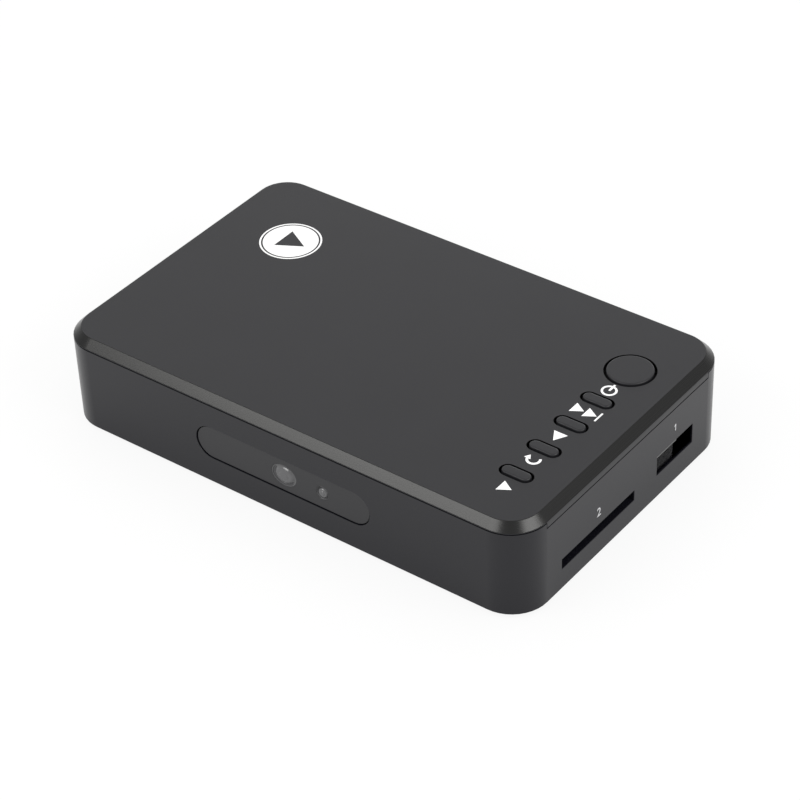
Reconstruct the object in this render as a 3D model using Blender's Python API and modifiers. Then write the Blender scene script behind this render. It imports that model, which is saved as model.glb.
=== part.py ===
"""Compact digital media player, built as an assembly of separate pieces.

Metres, +Z up. The long side runs along X, the front with its window faces -Y, and the card and
drive openings are in the end at +X. The origin lies on the surface that the feet stand on, below
the middle of the case.
"""

from math import cos, pi, sin

import bmesh
import bpy
from mathutils import Vector

MM = 0.001

# Fits between pieces
SEAT_GAP = 0.3 * MM
OVERRUN = 1.0 * MM
MERGE = 0.0005 * MM

# Roundness of curved forms
CORNER_STEPS = 10
ARC_STEPS = 6
ROUND_SIDES = 24
SMALL_SIDES = 12
COLLAR_SIDES = 18
SLOT_STEPS = 2
UPRIGHT_SHARE = 0.9

# Case
CASE_WIDTH = 125.0 * MM
CASE_DEPTH = 78.6 * MM
CORNER_RADIUS = 8.8 * MM
WALL = 2.0 * MM
WALL_DRAFT = 0.05 * MM
WALL_SKIRT = 0.9 * MM
TOP_PLATE = 2.0 * MM
BEVEL_WIDTH = 1.88 * MM
BEVEL_HEIGHT = 1.9 * MM
LIP_HEIGHT = 0.2 * MM
END_LIP_DROP = 1.4 * MM
PARTING_GAP = 0.2 * MM
END_LIP_GAP = 0.08 * MM
RIM_THICKNESS = 1.2 * MM
RIM_REACH = 2.8 * MM
BASE_EDGE = 1.2 * MM
BASE_PLATE = 2.0 * MM
RIB_THICKNESS = 1.2 * MM
RIB_HEIGHT = 1.8 * MM
RIB_PITCH = 17.0 * MM
RIB_COUNT = 4
RIB_END_SHARE = 0.22

# Vent slots in the base, in two rows under the processor
VENT_COLUMNS = 6
VENT_PITCH = 5.0 * MM
VENT_WIDTH = 1.8 * MM
VENT_LENGTH = 12.0 * MM
VENT_ROW_SPACE = 4.0 * MM

# Feet
FOOT_RADIUS = 4.5 * MM
FOOT_PROUD = 1.0 * MM
FOOT_SEAT_DEPTH = 0.6 * MM
FOOT_ROUND = 0.3 * MM
FOOT_X_SHARE = 0.37
FOOT_Y_SHARE = 0.31

# Case screws, driven from below into the posts of the top cover
CASE_SCREW_MARGIN = 1.3 * MM
POST_RADIUS = 3.2 * MM
COLLAR_WALL = 1.2 * MM
SCREW_SEAT = 1.2 * MM
CASE_SCREW_HEAD_RADIUS = 2.5 * MM
CASE_SCREW_HEAD = 1.7 * MM
CASE_SCREW_SINK = 0.4 * MM
CASE_SCREW_RADIUS = 1.4 * MM
CASE_SCREW_LENGTH = 11.0 * MM

# Main board
BOARD_THICKNESS = 1.6 * MM
BOARD_RISE = 3.4 * MM
BOARD_MARGIN = 0.5 * MM
BOARD_CORNER = 1.5 * MM
STANDOFF_RADIUS = 2.6 * MM
BOARD_SCREW_HEAD_RADIUS = 2.1 * MM
BOARD_SCREW_HEAD = 1.3 * MM
BOARD_SCREW_RADIUS = 1.0 * MM
BOARD_SCREW_LENGTH = 3.6 * MM
BOARD_SCREW_X_SHARE = 0.232
BOARD_SCREW_Y_SHARE = 0.385
SCREW_TIP = 0.5 * MM

# Keys in the top cover
KEY_INSET = 12.6 * MM
FIRST_KEY_SHARE = 0.2456
KEY_LENGTH = 7.0 * MM
KEY_WIDTH = 2.7 * MM
KEY_GAP = 0.5 * MM
KEY_PROUD = 0.35 * MM
KEY_ROUND = 0.45 * MM
KEY_FLANGE = 1.0 * MM
KEY_FLANGE_THICKNESS = 1.0 * MM
KEY_STEM_RADIUS = 1.5 * MM
KEY_STEM_LENGTH = 1.0 * MM
KEY_TRAVEL = 0.4 * MM
POWER_KEY_SHARE = 0.1799
POWER_KEY_RADIUS = 5.25 * MM
KEY_NAMES = ("next", "down", "return", "play")

# Tact switches on the key board
SWITCH_SIZE = 6.0 * MM
SWITCH_HEIGHT = 3.5 * MM
SWITCH_ROUND = 0.5 * MM
SWITCH_BORE_RADIUS = 1.95 * MM
SWITCH_BORE_DEPTH = 1.6 * MM
SWITCH_LEG_WIDTH = 0.7 * MM
SWITCH_LEG_THICKNESS = 0.4 * MM
SWITCH_LEG_HEIGHT = 1.6 * MM
SWITCH_LEG_SHARE = 0.34
PLUNGER_PROUD = 1.5 * MM
PLUNGER_ROUND = 0.3 * MM

# Key board
KEY_BOARD_THICKNESS = 1.2 * MM
KEY_BOARD_MARGIN = 1.5 * MM
KEY_BOARD_SPACE = 0.8 * MM
KEY_BOARD_HEADROOM = 0.95 * MM
KEY_BOARD_ROUND = 1.0 * MM
KEY_POST_RADIUS = 2.1 * MM
KEY_POST_SPACE = 0.5 * MM
KEY_SCREW_HEAD_RADIUS = 1.7 * MM
KEY_SCREW_HEAD = 1.1 * MM
KEY_SCREW_RADIUS = 0.8 * MM
KEY_SCREW_LENGTH = 5.0 * MM

# Front window and its two lenses
WINDOW_LENGTH = 46.7 * MM
WINDOW_HEIGHT = 8.0 * MM
WINDOW_THICKNESS = 0.9 * MM
WINDOW_GAP = 0.2 * MM
WINDOW_SINK = 0.25 * MM
WINDOW_X_SHARE = 0.0028
WINDOW_RISE = 10.9 * MM
RECEIVER_LENS_WIDTH = 6.6 * MM
RECEIVER_LENS_HEIGHT = 5.3 * MM
RECEIVER_LENS_X_SHARE = 0.007
INDICATOR_LENS_RADIUS = 1.62 * MM
INDICATOR_LENS_X_SHARE = 0.0904
LENS_GAP = 0.06 * MM
LENS_STEM_SHARE = 0.75
LENS_REACH = 0.6 * MM

# Infrared receiver and status LED
RECEIVER_WIDTH = 5.8 * MM
RECEIVER_THICKNESS = 2.8 * MM
RECEIVER_HEIGHT = 6.9 * MM
RECEIVER_DOME_RADIUS = 2.2 * MM
LEG_WIDTH = 0.6 * MM
RECEIVER_LEG_PITCH = 2.0 * MM
LED_RADIUS = 1.5 * MM
LED_FLANGE_RADIUS = 1.9 * MM
LED_FLANGE = 1.0 * MM
LED_BODY = 3.0 * MM
LED_LEG_PITCH = 2.0 * MM
LED_LEG_BACK = 2.0 * MM

# Openings in the end wall
PORT_SKIN = 0.6 * MM
SHEET = 0.3 * MM
DRIVE_SPACE_SHARE = 0.2533
DRIVE_RISE = 0.65 * MM
DRIVE_SHELL_WIDTH = 13.6 * MM
DRIVE_SHELL_HEIGHT = 5.7 * MM
DRIVE_SHELL_DEPTH = 14.0 * MM
DRIVE_SIDE_GAP = 0.25 * MM
DRIVE_EDGE_COVER = 0.325 * MM
DRIVE_LEG_LENGTH = 1.4 * MM
DRIVE_LEG_SHARE = 0.3
DRIVE_LIP = 0.45 * MM
DRIVE_LIP_DEPTH = 1.2 * MM
DRIVE_TONGUE_SIDE = 1.0 * MM
DRIVE_TONGUE_ABOVE = 0.6 * MM
DRIVE_TONGUE_BELOW = 2.7 * MM
DRIVE_TONGUE_BACK = 3.0 * MM
DRIVE_MOUTH_DEPTH = 2.6 * MM
CARD_SLOT_SIDE = 1.25 * MM
CARD_SLOT_MARGIN = 0.225 * MM
CARD_SLOT_DROP = 0.3 * MM
CARD_SPACE_SHARE = 0.1923
CARD_PASSAGE_WIDTH = 24.6 * MM
CARD_PASSAGE_HEIGHT = 2.2 * MM
CARD_FLOOR = 0.4 * MM
CARD_RAIL = 1.0 * MM
CARD_DEPTH = 26.0 * MM
CARD_STOP = 2.0 * MM
CARD_CONTACT_COUNT = 8
CARD_CONTACT_WIDTH = 1.2 * MM
CARD_CONTACT_LENGTH = 4.0 * MM
CARD_CONTACT_HEIGHT = 0.4 * MM
CARD_CONTACT_PITCH = 2.5 * MM
CARD_COVER_BACK = 6.0 * MM

# Sockets in the rear wall
PORT_GAP = 0.35 * MM
PORT_RECESS = 0.4 * MM
VIDEO_X_SHARE = 0.064
VIDEO_WIDTH = 14.6 * MM
VIDEO_HEIGHT = 5.5 * MM
VIDEO_DEPTH = 11.5 * MM
VIDEO_SLOPE_WIDTH = 2.0 * MM
VIDEO_SLOPE_HEIGHT = 1.8 * MM
VIDEO_BACK = 3.0 * MM
VIDEO_TONGUE_SIDE = 1.8 * MM
VIDEO_TONGUE_THICKNESS = 0.9 * MM
VIDEO_MOUTH_DEPTH = 2.9 * MM
AUDIO_X_SHARE = -0.112
AUDIO_WIDTH = 6.4 * MM
AUDIO_HEIGHT = 5.8 * MM
AUDIO_DEPTH = 12.0 * MM
AUDIO_BARREL_STEP = 0.1 * MM
AUDIO_BORE_RADIUS = 1.8 * MM
AUDIO_BORE_DEPTH = 11.0 * MM
POWER_X_SHARE = -0.31
POWER_WIDTH = 9.0 * MM
POWER_HEIGHT = 10.6 * MM
POWER_DEPTH = 13.0 * MM
POWER_BORE_DROP = 4.6 * MM
POWER_BARREL_RADIUS = 4.1 * MM
POWER_BORE_RADIUS = 3.15 * MM
POWER_BORE_DEPTH = 10.5 * MM
POWER_PIN_RADIUS = 1.0 * MM
POWER_PIN_RECESS = 2.4 * MM
POWER_PIN_TAIL = 1.0 * MM
HOUSING_ROUND = 0.5 * MM

# Parts on the main board
PROCESSOR_SIZE = 17.0 * MM
PROCESSOR_SUBSTRATE = 0.6 * MM
PROCESSOR_MOULD_SHARE = 0.86
PROCESSOR_HEIGHT = 1.6 * MM
PROCESSOR_X_SHARE = -0.016
HEAT_SINK_SIZE = 24.0 * MM
HEAT_SINK_PLATE = 1.8 * MM
HEAT_SINK_HEIGHT = 7.0 * MM
HEAT_SINK_FINS = 8
HEAT_SINK_FIN = 1.0 * MM
MEMORY_LENGTH = 13.0 * MM
MEMORY_WIDTH = 9.0 * MM
CHIP_HEIGHT = 1.1 * MM
CHIP_ROUND = 0.15 * MM
MEMORY_X_SHARE = 0.16
MEMORY_Y_SHARE = 0.06
FLASH_LENGTH = 18.0 * MM
FLASH_WIDTH = 12.0 * MM
FLASH_X_SHARE = -0.232
FLASH_Y_SHARE = -0.20
FLASH_LEG_COUNT = 10
FLASH_LEG_PITCH = 1.6 * MM
FLASH_LEG_WIDTH = 0.6 * MM
FLASH_LEG_REACH = 0.9 * MM
FLASH_LEG_SHARE = 0.4
CRYSTAL_LENGTH = 11.0 * MM
CRYSTAL_WIDTH = 4.5 * MM
CRYSTAL_HEIGHT = 3.4 * MM
CRYSTAL_RIM = 0.4 * MM
CRYSTAL_X_SHARE = -0.016
CRYSTAL_Y_SHARE = -0.24
CAPACITOR_RADIUS = 3.15 * MM
CAPACITOR_HEIGHT = 7.7 * MM
CAPACITOR_GROOVE = 0.25 * MM
CAPACITOR_GROOVE_RISE = 1.4 * MM
CAPACITOR_X_SHARE = -0.40
CAPACITOR_Y_SHARE = 0.13
CAPACITOR_PITCH = 9.0 * MM
INDUCTOR_SIZE = 7.0 * MM
INDUCTOR_HEIGHT = 3.2 * MM
INDUCTOR_BASE = 1.0 * MM
INDUCTOR_ROUND = 1.0 * MM
INDUCTOR_X_SHARE = -0.27
INDUCTOR_Y_SHARE = 0.09

# Ribbon between the boards
CONNECTOR_LENGTH = 8.0 * MM
CONNECTOR_WIDTH = 4.6 * MM
CONNECTOR_HEIGHT = 2.2 * MM
RIBBON_WIDTH = 6.4 * MM
RIBBON_THICKNESS = 0.3 * MM
RIBBON_BEND = 2.2 * MM
MAIN_CONNECTOR_SPACE = 1.3 * MM

# Levels, from the surface up: boards, drive socket, key board, switches, keys, top cover
CASE_BOTTOM = FOOT_PROUD
BASE_EDGE_TOP = CASE_BOTTOM + BASE_EDGE
FRAME_SEAT = BASE_EDGE_TOP + SEAT_GAP
BASE_FLOOR = CASE_BOTTOM + BASE_PLATE
BOARD_BOTTOM = CASE_BOTTOM + BOARD_RISE
BOARD_TOP = BOARD_BOTTOM + BOARD_THICKNESS
PART_SEAT = BOARD_TOP + SEAT_GAP
SCREW_HEAD_BOTTOM = CASE_BOTTOM + CASE_SCREW_SINK
SCREW_SEAT_BOTTOM = SCREW_HEAD_BOTTOM + CASE_SCREW_HEAD + SEAT_GAP
COLLAR_TOP = SCREW_SEAT_BOTTOM + SCREW_SEAT
POST_BOTTOM = COLLAR_TOP + SEAT_GAP
DRIVE_TOP = BOARD_TOP + DRIVE_RISE + DRIVE_SHELL_HEIGHT
KEY_BOARD_BOTTOM = DRIVE_TOP + KEY_BOARD_HEADROOM
KEY_BOARD_TOP = KEY_BOARD_BOTTOM + KEY_BOARD_THICKNESS
KEY_POST_BOTTOM = KEY_BOARD_TOP + SEAT_GAP
SWITCH_BOTTOM = KEY_BOARD_TOP + SEAT_GAP
SWITCH_TOP = SWITCH_BOTTOM + SWITCH_HEIGHT
PLUNGER_TOP = SWITCH_TOP + PLUNGER_PROUD
STEM_BOTTOM = PLUNGER_TOP + SEAT_GAP
FLANGE_BOTTOM = STEM_BOTTOM + KEY_STEM_LENGTH
FLANGE_TOP = FLANGE_BOTTOM + KEY_FLANGE_THICKNESS
COVER_UNDERSIDE = FLANGE_TOP + SEAT_GAP
CASE_TOP = COVER_UNDERSIDE + TOP_PLATE
BEVEL_BOTTOM = CASE_TOP - BEVEL_HEIGHT
LIP_BOTTOM = BEVEL_BOTTOM - LIP_HEIGHT
END_LIP_BOTTOM = LIP_BOTTOM - END_LIP_DROP
FRAME_TOP = LIP_BOTTOM - PARTING_GAP
END_FRAME_TOP = END_LIP_BOTTOM - PARTING_GAP
LENS_LEVEL = CASE_BOTTOM + WINDOW_RISE

# Outlines, measured in from the outer face of the case
BASE_INSET = WALL_SKIRT + SEAT_GAP
RIM_INSET = WALL + SEAT_GAP
CAVITY_INSET = RIM_INSET + RIM_THICKNESS
BOARD_INSET = CAVITY_INSET + BOARD_MARGIN
PORT_INSET = WALL_DRAFT + PORT_SKIN
COLLAR_RADIUS = CASE_SCREW_HEAD_RADIUS + SEAT_GAP + COLLAR_WALL
CASE_SCREW_INSET = RIM_INSET + COLLAR_RADIUS + CASE_SCREW_MARGIN
POST_INSET = CASE_SCREW_INSET + POST_RADIUS
HALF_WIDTH = CASE_WIDTH / 2
HALF_DEPTH = CASE_DEPTH / 2
POST_EDGE_Y = HALF_DEPTH - POST_INSET
END_LIP_HALF = HALF_DEPTH - CORNER_RADIUS

# Places
HALF_SWITCH_SPACE = SWITCH_SIZE / 2 + KEY_BOARD_MARGIN
KEY_X = HALF_WIDTH - KEY_INSET
LAST_KEY_Y = -POST_EDGE_Y + KEY_BOARD_SPACE + HALF_SWITCH_SPACE
POWER_KEY_Y = POST_EDGE_Y - (POST_EDGE_Y - LAST_KEY_Y) * POWER_KEY_SHARE
FIRST_KEY_Y = POWER_KEY_Y - (POST_EDGE_Y - LAST_KEY_Y) * FIRST_KEY_SHARE
KEY_PITCH = (FIRST_KEY_Y - LAST_KEY_Y) / (len(KEY_NAMES) - 1)
KEY_YS = tuple(FIRST_KEY_Y - KEY_PITCH * place for place in range(len(KEY_NAMES)))
FLANGE_HALF_LENGTH = KEY_LENGTH / 2 + KEY_FLANGE
KEY_POST_OFFSET = FLANGE_HALF_LENGTH + KEY_POST_SPACE + KEY_POST_RADIUS
KEY_POSTS = (
    (KEY_X - KEY_POST_OFFSET, KEY_YS[0]),
    (KEY_X - KEY_POST_OFFSET, KEY_YS[-1]),
    (KEY_X + KEY_POST_OFFSET, (KEY_YS[0] + KEY_YS[1]) / 2),
)
CASE_SCREWS = tuple(
    (side * (HALF_WIDTH - CASE_SCREW_INSET), end * (HALF_DEPTH - CASE_SCREW_INSET))
    for end in (-1, 1)
    for side in (-1, 1)
)
BOARD_SCREWS = tuple(
    (side * CASE_WIDTH * BOARD_SCREW_X_SHARE, end * CASE_DEPTH * BOARD_SCREW_Y_SHARE)
    for end in (-1, 1)
    for side in (-1, 1)
)
FEET = tuple(
    (side * CASE_WIDTH * FOOT_X_SHARE, end * CASE_DEPTH * FOOT_Y_SHARE)
    for end in (-1, 1)
    for side in (-1, 1)
)
WINDOW_X = CASE_WIDTH * WINDOW_X_SHARE
RECEIVER_X = CASE_WIDTH * RECEIVER_LENS_X_SHARE
INDICATOR_X = CASE_WIDTH * INDICATOR_LENS_X_SHARE
CARD_HALF_WIDTH = CARD_PASSAGE_WIDTH / 2 + CARD_RAIL
CARD_COVER_HALF = CARD_HALF_WIDTH + SEAT_GAP + SHEET
END_SPACE = 2 * (POST_EDGE_Y - CARD_COVER_HALF) - DRIVE_SHELL_WIDTH
DRIVE_Y = POST_EDGE_Y - END_SPACE * DRIVE_SPACE_SHARE - DRIVE_SHELL_WIDTH / 2
DRIVE_Z = DRIVE_TOP - DRIVE_SHELL_HEIGHT / 2
DRIVE_MOUTH_X = HALF_WIDTH - PORT_INSET - SEAT_GAP
CARD_Y = -POST_EDGE_Y + END_SPACE * CARD_SPACE_SHARE + CARD_COVER_HALF
CARD_MOUTH_X = HALF_WIDTH - WALL - SEAT_GAP
REAR_PORT_Y = HALF_DEPTH - WALL_DRAFT - PORT_RECESS
REAR_SEAT_Y = HALF_DEPTH - WALL - SEAT_GAP
VIDEO_X = CASE_WIDTH * VIDEO_X_SHARE
VIDEO_Z = PART_SEAT + VIDEO_HEIGHT / 2
AUDIO_X = CASE_WIDTH * AUDIO_X_SHARE
AUDIO_Z = PART_SEAT + AUDIO_HEIGHT / 2
AUDIO_BARREL_RADIUS = AUDIO_HEIGHT / 2 - AUDIO_BARREL_STEP
POWER_X = CASE_WIDTH * POWER_X_SHARE
POWER_Z = PART_SEAT + POWER_HEIGHT - POWER_BORE_DROP
RIBBON_Y = (KEY_YS[1] + KEY_YS[2]) / 2
MAIN_CONNECTOR_X = CARD_MOUTH_X - CARD_DEPTH - MAIN_CONNECTOR_SPACE - CONNECTOR_WIDTH / 2

# Colour, roughness and metallic value of each material
MATERIALS = {
    "case_black": ((0.032, 0.032, 0.034), 0.42, 0.0),
    "key_black": ((0.030, 0.030, 0.032), 0.38, 0.0),
    "window_black": ((0.024, 0.024, 0.026), 0.30, 0.0),
    "lens_grey": ((0.30, 0.30, 0.31), 0.18, 0.0),
    "rubber_black": ((0.020, 0.020, 0.020), 0.85, 0.0),
    "board_green": ((0.020, 0.130, 0.055), 0.45, 0.0),
    "sheet_steel": ((0.62, 0.62, 0.63), 0.28, 1.0),
    "screw_steel": ((0.30, 0.30, 0.31), 0.35, 1.0),
    "socket_black": ((0.025, 0.025, 0.026), 0.50, 0.0),
    "socket_white": ((0.75, 0.74, 0.70), 0.50, 0.0),
    "chip_black": ((0.028, 0.028, 0.030), 0.55, 0.0),
    "fin_aluminium": ((0.55, 0.56, 0.58), 0.35, 1.0),
    "led_red": ((0.55, 0.05, 0.04), 0.25, 0.0),
    "ribbon_white": ((0.72, 0.72, 0.70), 0.50, 0.0),
}


def new_group(name):
    group = bpy.data.collections.new(name)
    bpy.context.scene.collection.children.link(group)
    return group


for stale in list(bpy.data.objects):
    bpy.data.objects.remove(stale, do_unlink=True)

PLAYER = new_group("digital_media_player")
CUTTERS = new_group("cutters")


def build_materials():
    made = {}
    for name, (colour, roughness, metallic) in MATERIALS.items():
        made[name] = bpy.data.materials.new(name)
        made[name].use_nodes = True
        shader = made[name].node_tree.nodes["Principled BSDF"]
        shader.inputs["Base Color"].default_value = (*colour, 1.0)
        shader.inputs["Roughness"].default_value = roughness
        shader.inputs["Metallic"].default_value = metallic
    return made


SURFACES = build_materials()


# Shapes

def rounded_box(size, radius=0.0, along="Z", steps=ARC_STEPS):
    """A box about its own centre, with the four edges that run along one axis rounded."""
    shape = bmesh.new()
    bmesh.ops.create_cube(shape, size=1.0)
    bmesh.ops.scale(shape, vec=size, verts=shape.verts)
    if radius > 0.0:
        axis = "XYZ".index(along)
        edges = [edge for edge in shape.edges if edge.verts[0].co[axis] * edge.verts[1].co[axis] < 0.0]
        bmesh.ops.bevel(shape, geom=edges, offset=radius, segments=steps, profile=0.5, affect="EDGES")
        bmesh.ops.remove_doubles(shape, verts=shape.verts, dist=MERGE)
    shape.normal_update()
    return shape


def soften_end(shape, side, radius, steps=2):
    """Round the edge of the top of a shape (side 1) or of its underside (side -1)."""
    ends = [face for face in shape.faces if face.normal.z * side > UPRIGHT_SHARE]
    edges = list({edge for face in ends for edge in face.edges})
    bmesh.ops.bevel(shape, geom=edges, offset=radius, segments=steps, profile=0.5, affect="EDGES")
    shape.normal_update()


def draw_in(verts, amount):
    """Draw points of the case's outline in by the draft of its walls."""
    for vert in verts:
        vert.co.x -= amount * vert.co.x / HALF_WIDTH
        vert.co.y -= amount * vert.co.y / HALF_DEPTH


def add(name, shape, location, group=CUTTERS):
    """Turn a shape into an object."""
    data = bpy.data.meshes.new(name)
    shape.to_mesh(data)
    shape.free()
    body = bpy.data.objects.new(name, data)
    body.location = location
    group.objects.link(body)
    return body


def block(name, low, high, radius=0.0, along="Z", group=CUTTERS, steps=ARC_STEPS):
    """A box between two corners, with rounded edges along one axis."""
    low, high = Vector(low), Vector(high)
    return add(name, rounded_box(high - low, radius, along, steps), (low + high) / 2, group)


def case_size(inset, low, high):
    return Vector((CASE_WIDTH - 2 * inset, CASE_DEPTH - 2 * inset, high - low))


def case_shape(inset, low, high):
    """The outline of the case, moved in by an inset, as a slab about its own centre."""
    radius = max(CORNER_RADIUS - inset, SEAT_GAP)
    return rounded_box(case_size(inset, low, high), radius, "Z", CORNER_STEPS)


def case_slab(name, inset, low, high, group=CUTTERS):
    return add(name, case_shape(inset, low, high), (0, 0, (low + high) / 2), group)


def rods(name, places, radius, low, high, group=CUTTERS, sides=ROUND_SIDES):
    """Upright round bars, all in one object, at each of the places (x, y)."""
    shape = bmesh.new()
    for x, y in places:
        bar = bmesh.ops.create_cone(
            shape, cap_ends=True, segments=sides, radius1=radius, radius2=radius, depth=high - low)
        bmesh.ops.translate(shape, vec=(x, y, 0), verts=bar["verts"])
    return add(name, shape, (0, 0, (low + high) / 2), group)


def turned(name, profile, location, towards=(0, 0, 1), group=CUTTERS, sides=ROUND_SIDES):
    """A turned solid: its profile (radius, height) leaves the axis at the top and runs down."""
    data = bpy.data.meshes.new(name)
    points = [(radius, 0, height) for radius, height in profile]
    data.from_pydata(points, [(step, step + 1) for step in range(len(points) - 1)], [])
    body = bpy.data.objects.new(name, data)
    body.location = location
    body.rotation_mode = "QUATERNION"
    body.rotation_quaternion = Vector((0, 0, 1)).rotation_difference(Vector(towards))
    group.objects.link(body)
    turn = body.modifiers.new("turn", "SCREW")
    turn.axis = "Z"
    turn.angle = 2 * pi
    turn.steps = turn.render_steps = sides
    turn.use_merge_vertices = True
    turn.merge_threshold = MERGE
    return body


def outline(name, points, thickness, location, rotation=(0, 0, 0), group=CUTTERS):
    """A flat outline of points (x, y) with a thickness, made a mesh so that it can be cut."""
    curve = bpy.data.curves.new(name, "CURVE")
    curve.dimensions = "2D"
    curve.fill_mode = "BOTH"
    curve.extrude = thickness / 2
    spline = curve.splines.new("POLY")
    spline.points.add(len(points) - 1)
    for point, (x, y) in zip(spline.points, points):
        point.co = (x, y, 0, 1)
    spline.use_cyclic_u = True
    drawn = bpy.data.objects.new(name, curve)
    CUTTERS.objects.link(drawn)
    graph = bpy.context.evaluated_depsgraph_get()
    shape = bmesh.new()
    shape.from_mesh(bpy.data.meshes.new_from_object(drawn.evaluated_get(graph)))
    bpy.data.objects.remove(drawn, do_unlink=True)
    bmesh.ops.remove_doubles(shape, verts=shape.verts, dist=MERGE)
    bmesh.ops.dissolve_limit(shape, angle_limit=MERGE, verts=shape.verts, edges=shape.edges)
    bmesh.ops.recalc_face_normals(shape, faces=shape.faces)
    body = add(name, shape, location, group)
    body.rotation_euler = rotation
    return body


# Joining and cutting

def combine(body, operation, others):
    for other in others:
        step = body.modifiers.new(other.name, "BOOLEAN")
        step.operation = operation
        step.object = other
        step.solver = "EXACT"
        other.hide_render = True
        other.display_type = "WIRE"


def fuse(body, *others):
    combine(body, "UNION", others)


def cut(body, *others):
    combine(body, "DIFFERENCE", others)


def finish(body, surface):
    body.data.materials.append(SURFACES[surface])
    body.data.shade_smooth()
    body.data.set_sharp_from_angle(angle=pi / 6)
    return body


# Housing

def lid_shape():
    """The outer form of the top cover: an upright lip, and a flat bevel up to the top face."""
    shape = case_shape(0.0, END_LIP_BOTTOM, BEVEL_BOTTOM)
    top = [face for face in shape.faces if face.normal.z > UPRIGHT_SHARE]
    bmesh.ops.inset_region(shape, faces=top, thickness=BEVEL_WIDTH, use_even_offset=True)
    bmesh.ops.translate(shape, vec=(0, 0, BEVEL_HEIGHT), verts=top[0].verts)
    return shape


def key_outline(name, reach, low, high, y):
    """A long key's form, grown by a reach on every side."""
    half = Vector((KEY_LENGTH / 2 + reach, KEY_WIDTH / 2 + reach, 0))
    middle = Vector((KEY_X, y, 0))
    return block(name, middle - half + Vector((0, 0, low)), middle + half + Vector((0, 0, high)), half.y)


def build_top_cover():
    cover = add("top_cover", lid_shape(), (0, 0, (END_LIP_BOTTOM + BEVEL_BOTTOM) / 2), PLAYER)
    half = Vector((HALF_WIDTH + OVERRUN, (CORNER_RADIUS + OVERRUN) / 2, 0))
    for name, end in (("front", -1), ("rear", 1)):
        middle = Vector((0, end * (END_LIP_HALF + half.y), 0))
        low = middle - half + Vector((0, 0, END_LIP_BOTTOM - OVERRUN))
        cut(cover, block(f"{name}_lip_space", low, middle + half + Vector((0, 0, LIP_BOTTOM))))
    rim = case_slab("cover_rim", RIM_INSET, FRAME_TOP - RIM_REACH, BEVEL_BOTTOM)
    hollow = case_slab("cover_hollow", CAVITY_INSET, FRAME_TOP - RIM_REACH - OVERRUN, COVER_UNDERSIDE)
    fuse(cover, rim)
    cut(cover, hollow)
    post_top = COVER_UNDERSIDE + TOP_PLATE / 2
    case_posts = rods("case_posts", CASE_SCREWS, POST_RADIUS, POST_BOTTOM, post_top, sides=COLLAR_SIDES)
    key_posts = rods("key_posts", KEY_POSTS, KEY_POST_RADIUS, KEY_POST_BOTTOM, post_top, sides=COLLAR_SIDES)
    fuse(cover, case_posts, key_posts)
    half_rib = Vector((CASE_WIDTH * RIB_END_SHARE, RIB_THICKNESS / 2, 0))
    for place in range(RIB_COUNT):
        middle = Vector((-half_rib.x / 2, RIB_PITCH * (place - (RIB_COUNT - 1) / 2), 0))
        low = middle - half_rib + Vector((0, 0, COVER_UNDERSIDE - RIB_HEIGHT))
        fuse(cover, block(f"cover_rib_{place + 1}", low, middle + half_rib + Vector((0, 0, post_top))))
    pilot = CASE_SCREW_RADIUS + SEAT_GAP
    top_of_pilot = SCREW_HEAD_BOTTOM + CASE_SCREW_HEAD + CASE_SCREW_LENGTH + SEAT_GAP
    pilots = rods("case_pilots", CASE_SCREWS, pilot, POST_BOTTOM - OVERRUN, top_of_pilot, sides=SMALL_SIDES)
    cut(cover, pilots)
    pilot = KEY_SCREW_RADIUS + SEAT_GAP
    top_of_pilot = KEY_BOARD_BOTTOM - SEAT_GAP + KEY_SCREW_LENGTH + SEAT_GAP
    pilot_low = KEY_POST_BOTTOM - OVERRUN
    cut(cover, rods("key_pilots", KEY_POSTS, pilot, pilot_low, top_of_pilot, sides=SMALL_SIDES))
    aperture_low = COVER_UNDERSIDE - OVERRUN
    aperture_high = CASE_TOP + OVERRUN
    for name, y in zip(KEY_NAMES, KEY_YS):
        cut(cover, key_outline(f"{name}_aperture", KEY_GAP, aperture_low, aperture_high, y))
    power = [(KEY_X, POWER_KEY_Y)]
    cut(cover, rods("power_aperture", power, POWER_KEY_RADIUS + KEY_GAP, aperture_low, aperture_high,
                    sides=2 * ROUND_SIDES))
    return finish(cover, "case_black")


def wall_shape():
    shape = case_shape(0.0, CASE_BOTTOM, FRAME_TOP)
    draw_in([vert for vert in shape.verts if vert.co.z < 0.0], WALL_DRAFT)
    return shape


def window_block(name, reach, front, back, group=CUTTERS):
    """The window's form between two depths, grown by a reach on every side."""
    half = Vector((WINDOW_LENGTH / 2 + reach, 0, WINDOW_HEIGHT / 2 + reach))
    middle = Vector((WINDOW_X, 0, LENS_LEVEL))
    low = middle - half + Vector((0, front, 0))
    return block(name, low, middle + half + Vector((0, back, 0)), half.z, "Y", group)


def window_front():
    """The front of the window, sunk a little behind the drafted wall at the window's middle."""
    share = (FRAME_TOP - LENS_LEVEL) / (FRAME_TOP - CASE_BOTTOM)
    return -HALF_DEPTH + WALL_DRAFT * share + WINDOW_SINK


def across(name, x, z, radius, front, back, sides=ROUND_SIDES):
    """A round bar along Y between two depths."""
    middle = (x, (front + back) / 2, z)
    half = (back - front) / 2
    return turned(name, [(0, half), (radius, half), (radius, -half), (0, -half)], middle, (0, 1, 0),
                  sides=sides)


def flattened(body, half_width, half_height):
    """Makes a round piece that lies along Y oval."""
    body.scale.y = half_height / half_width
    return body


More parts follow.
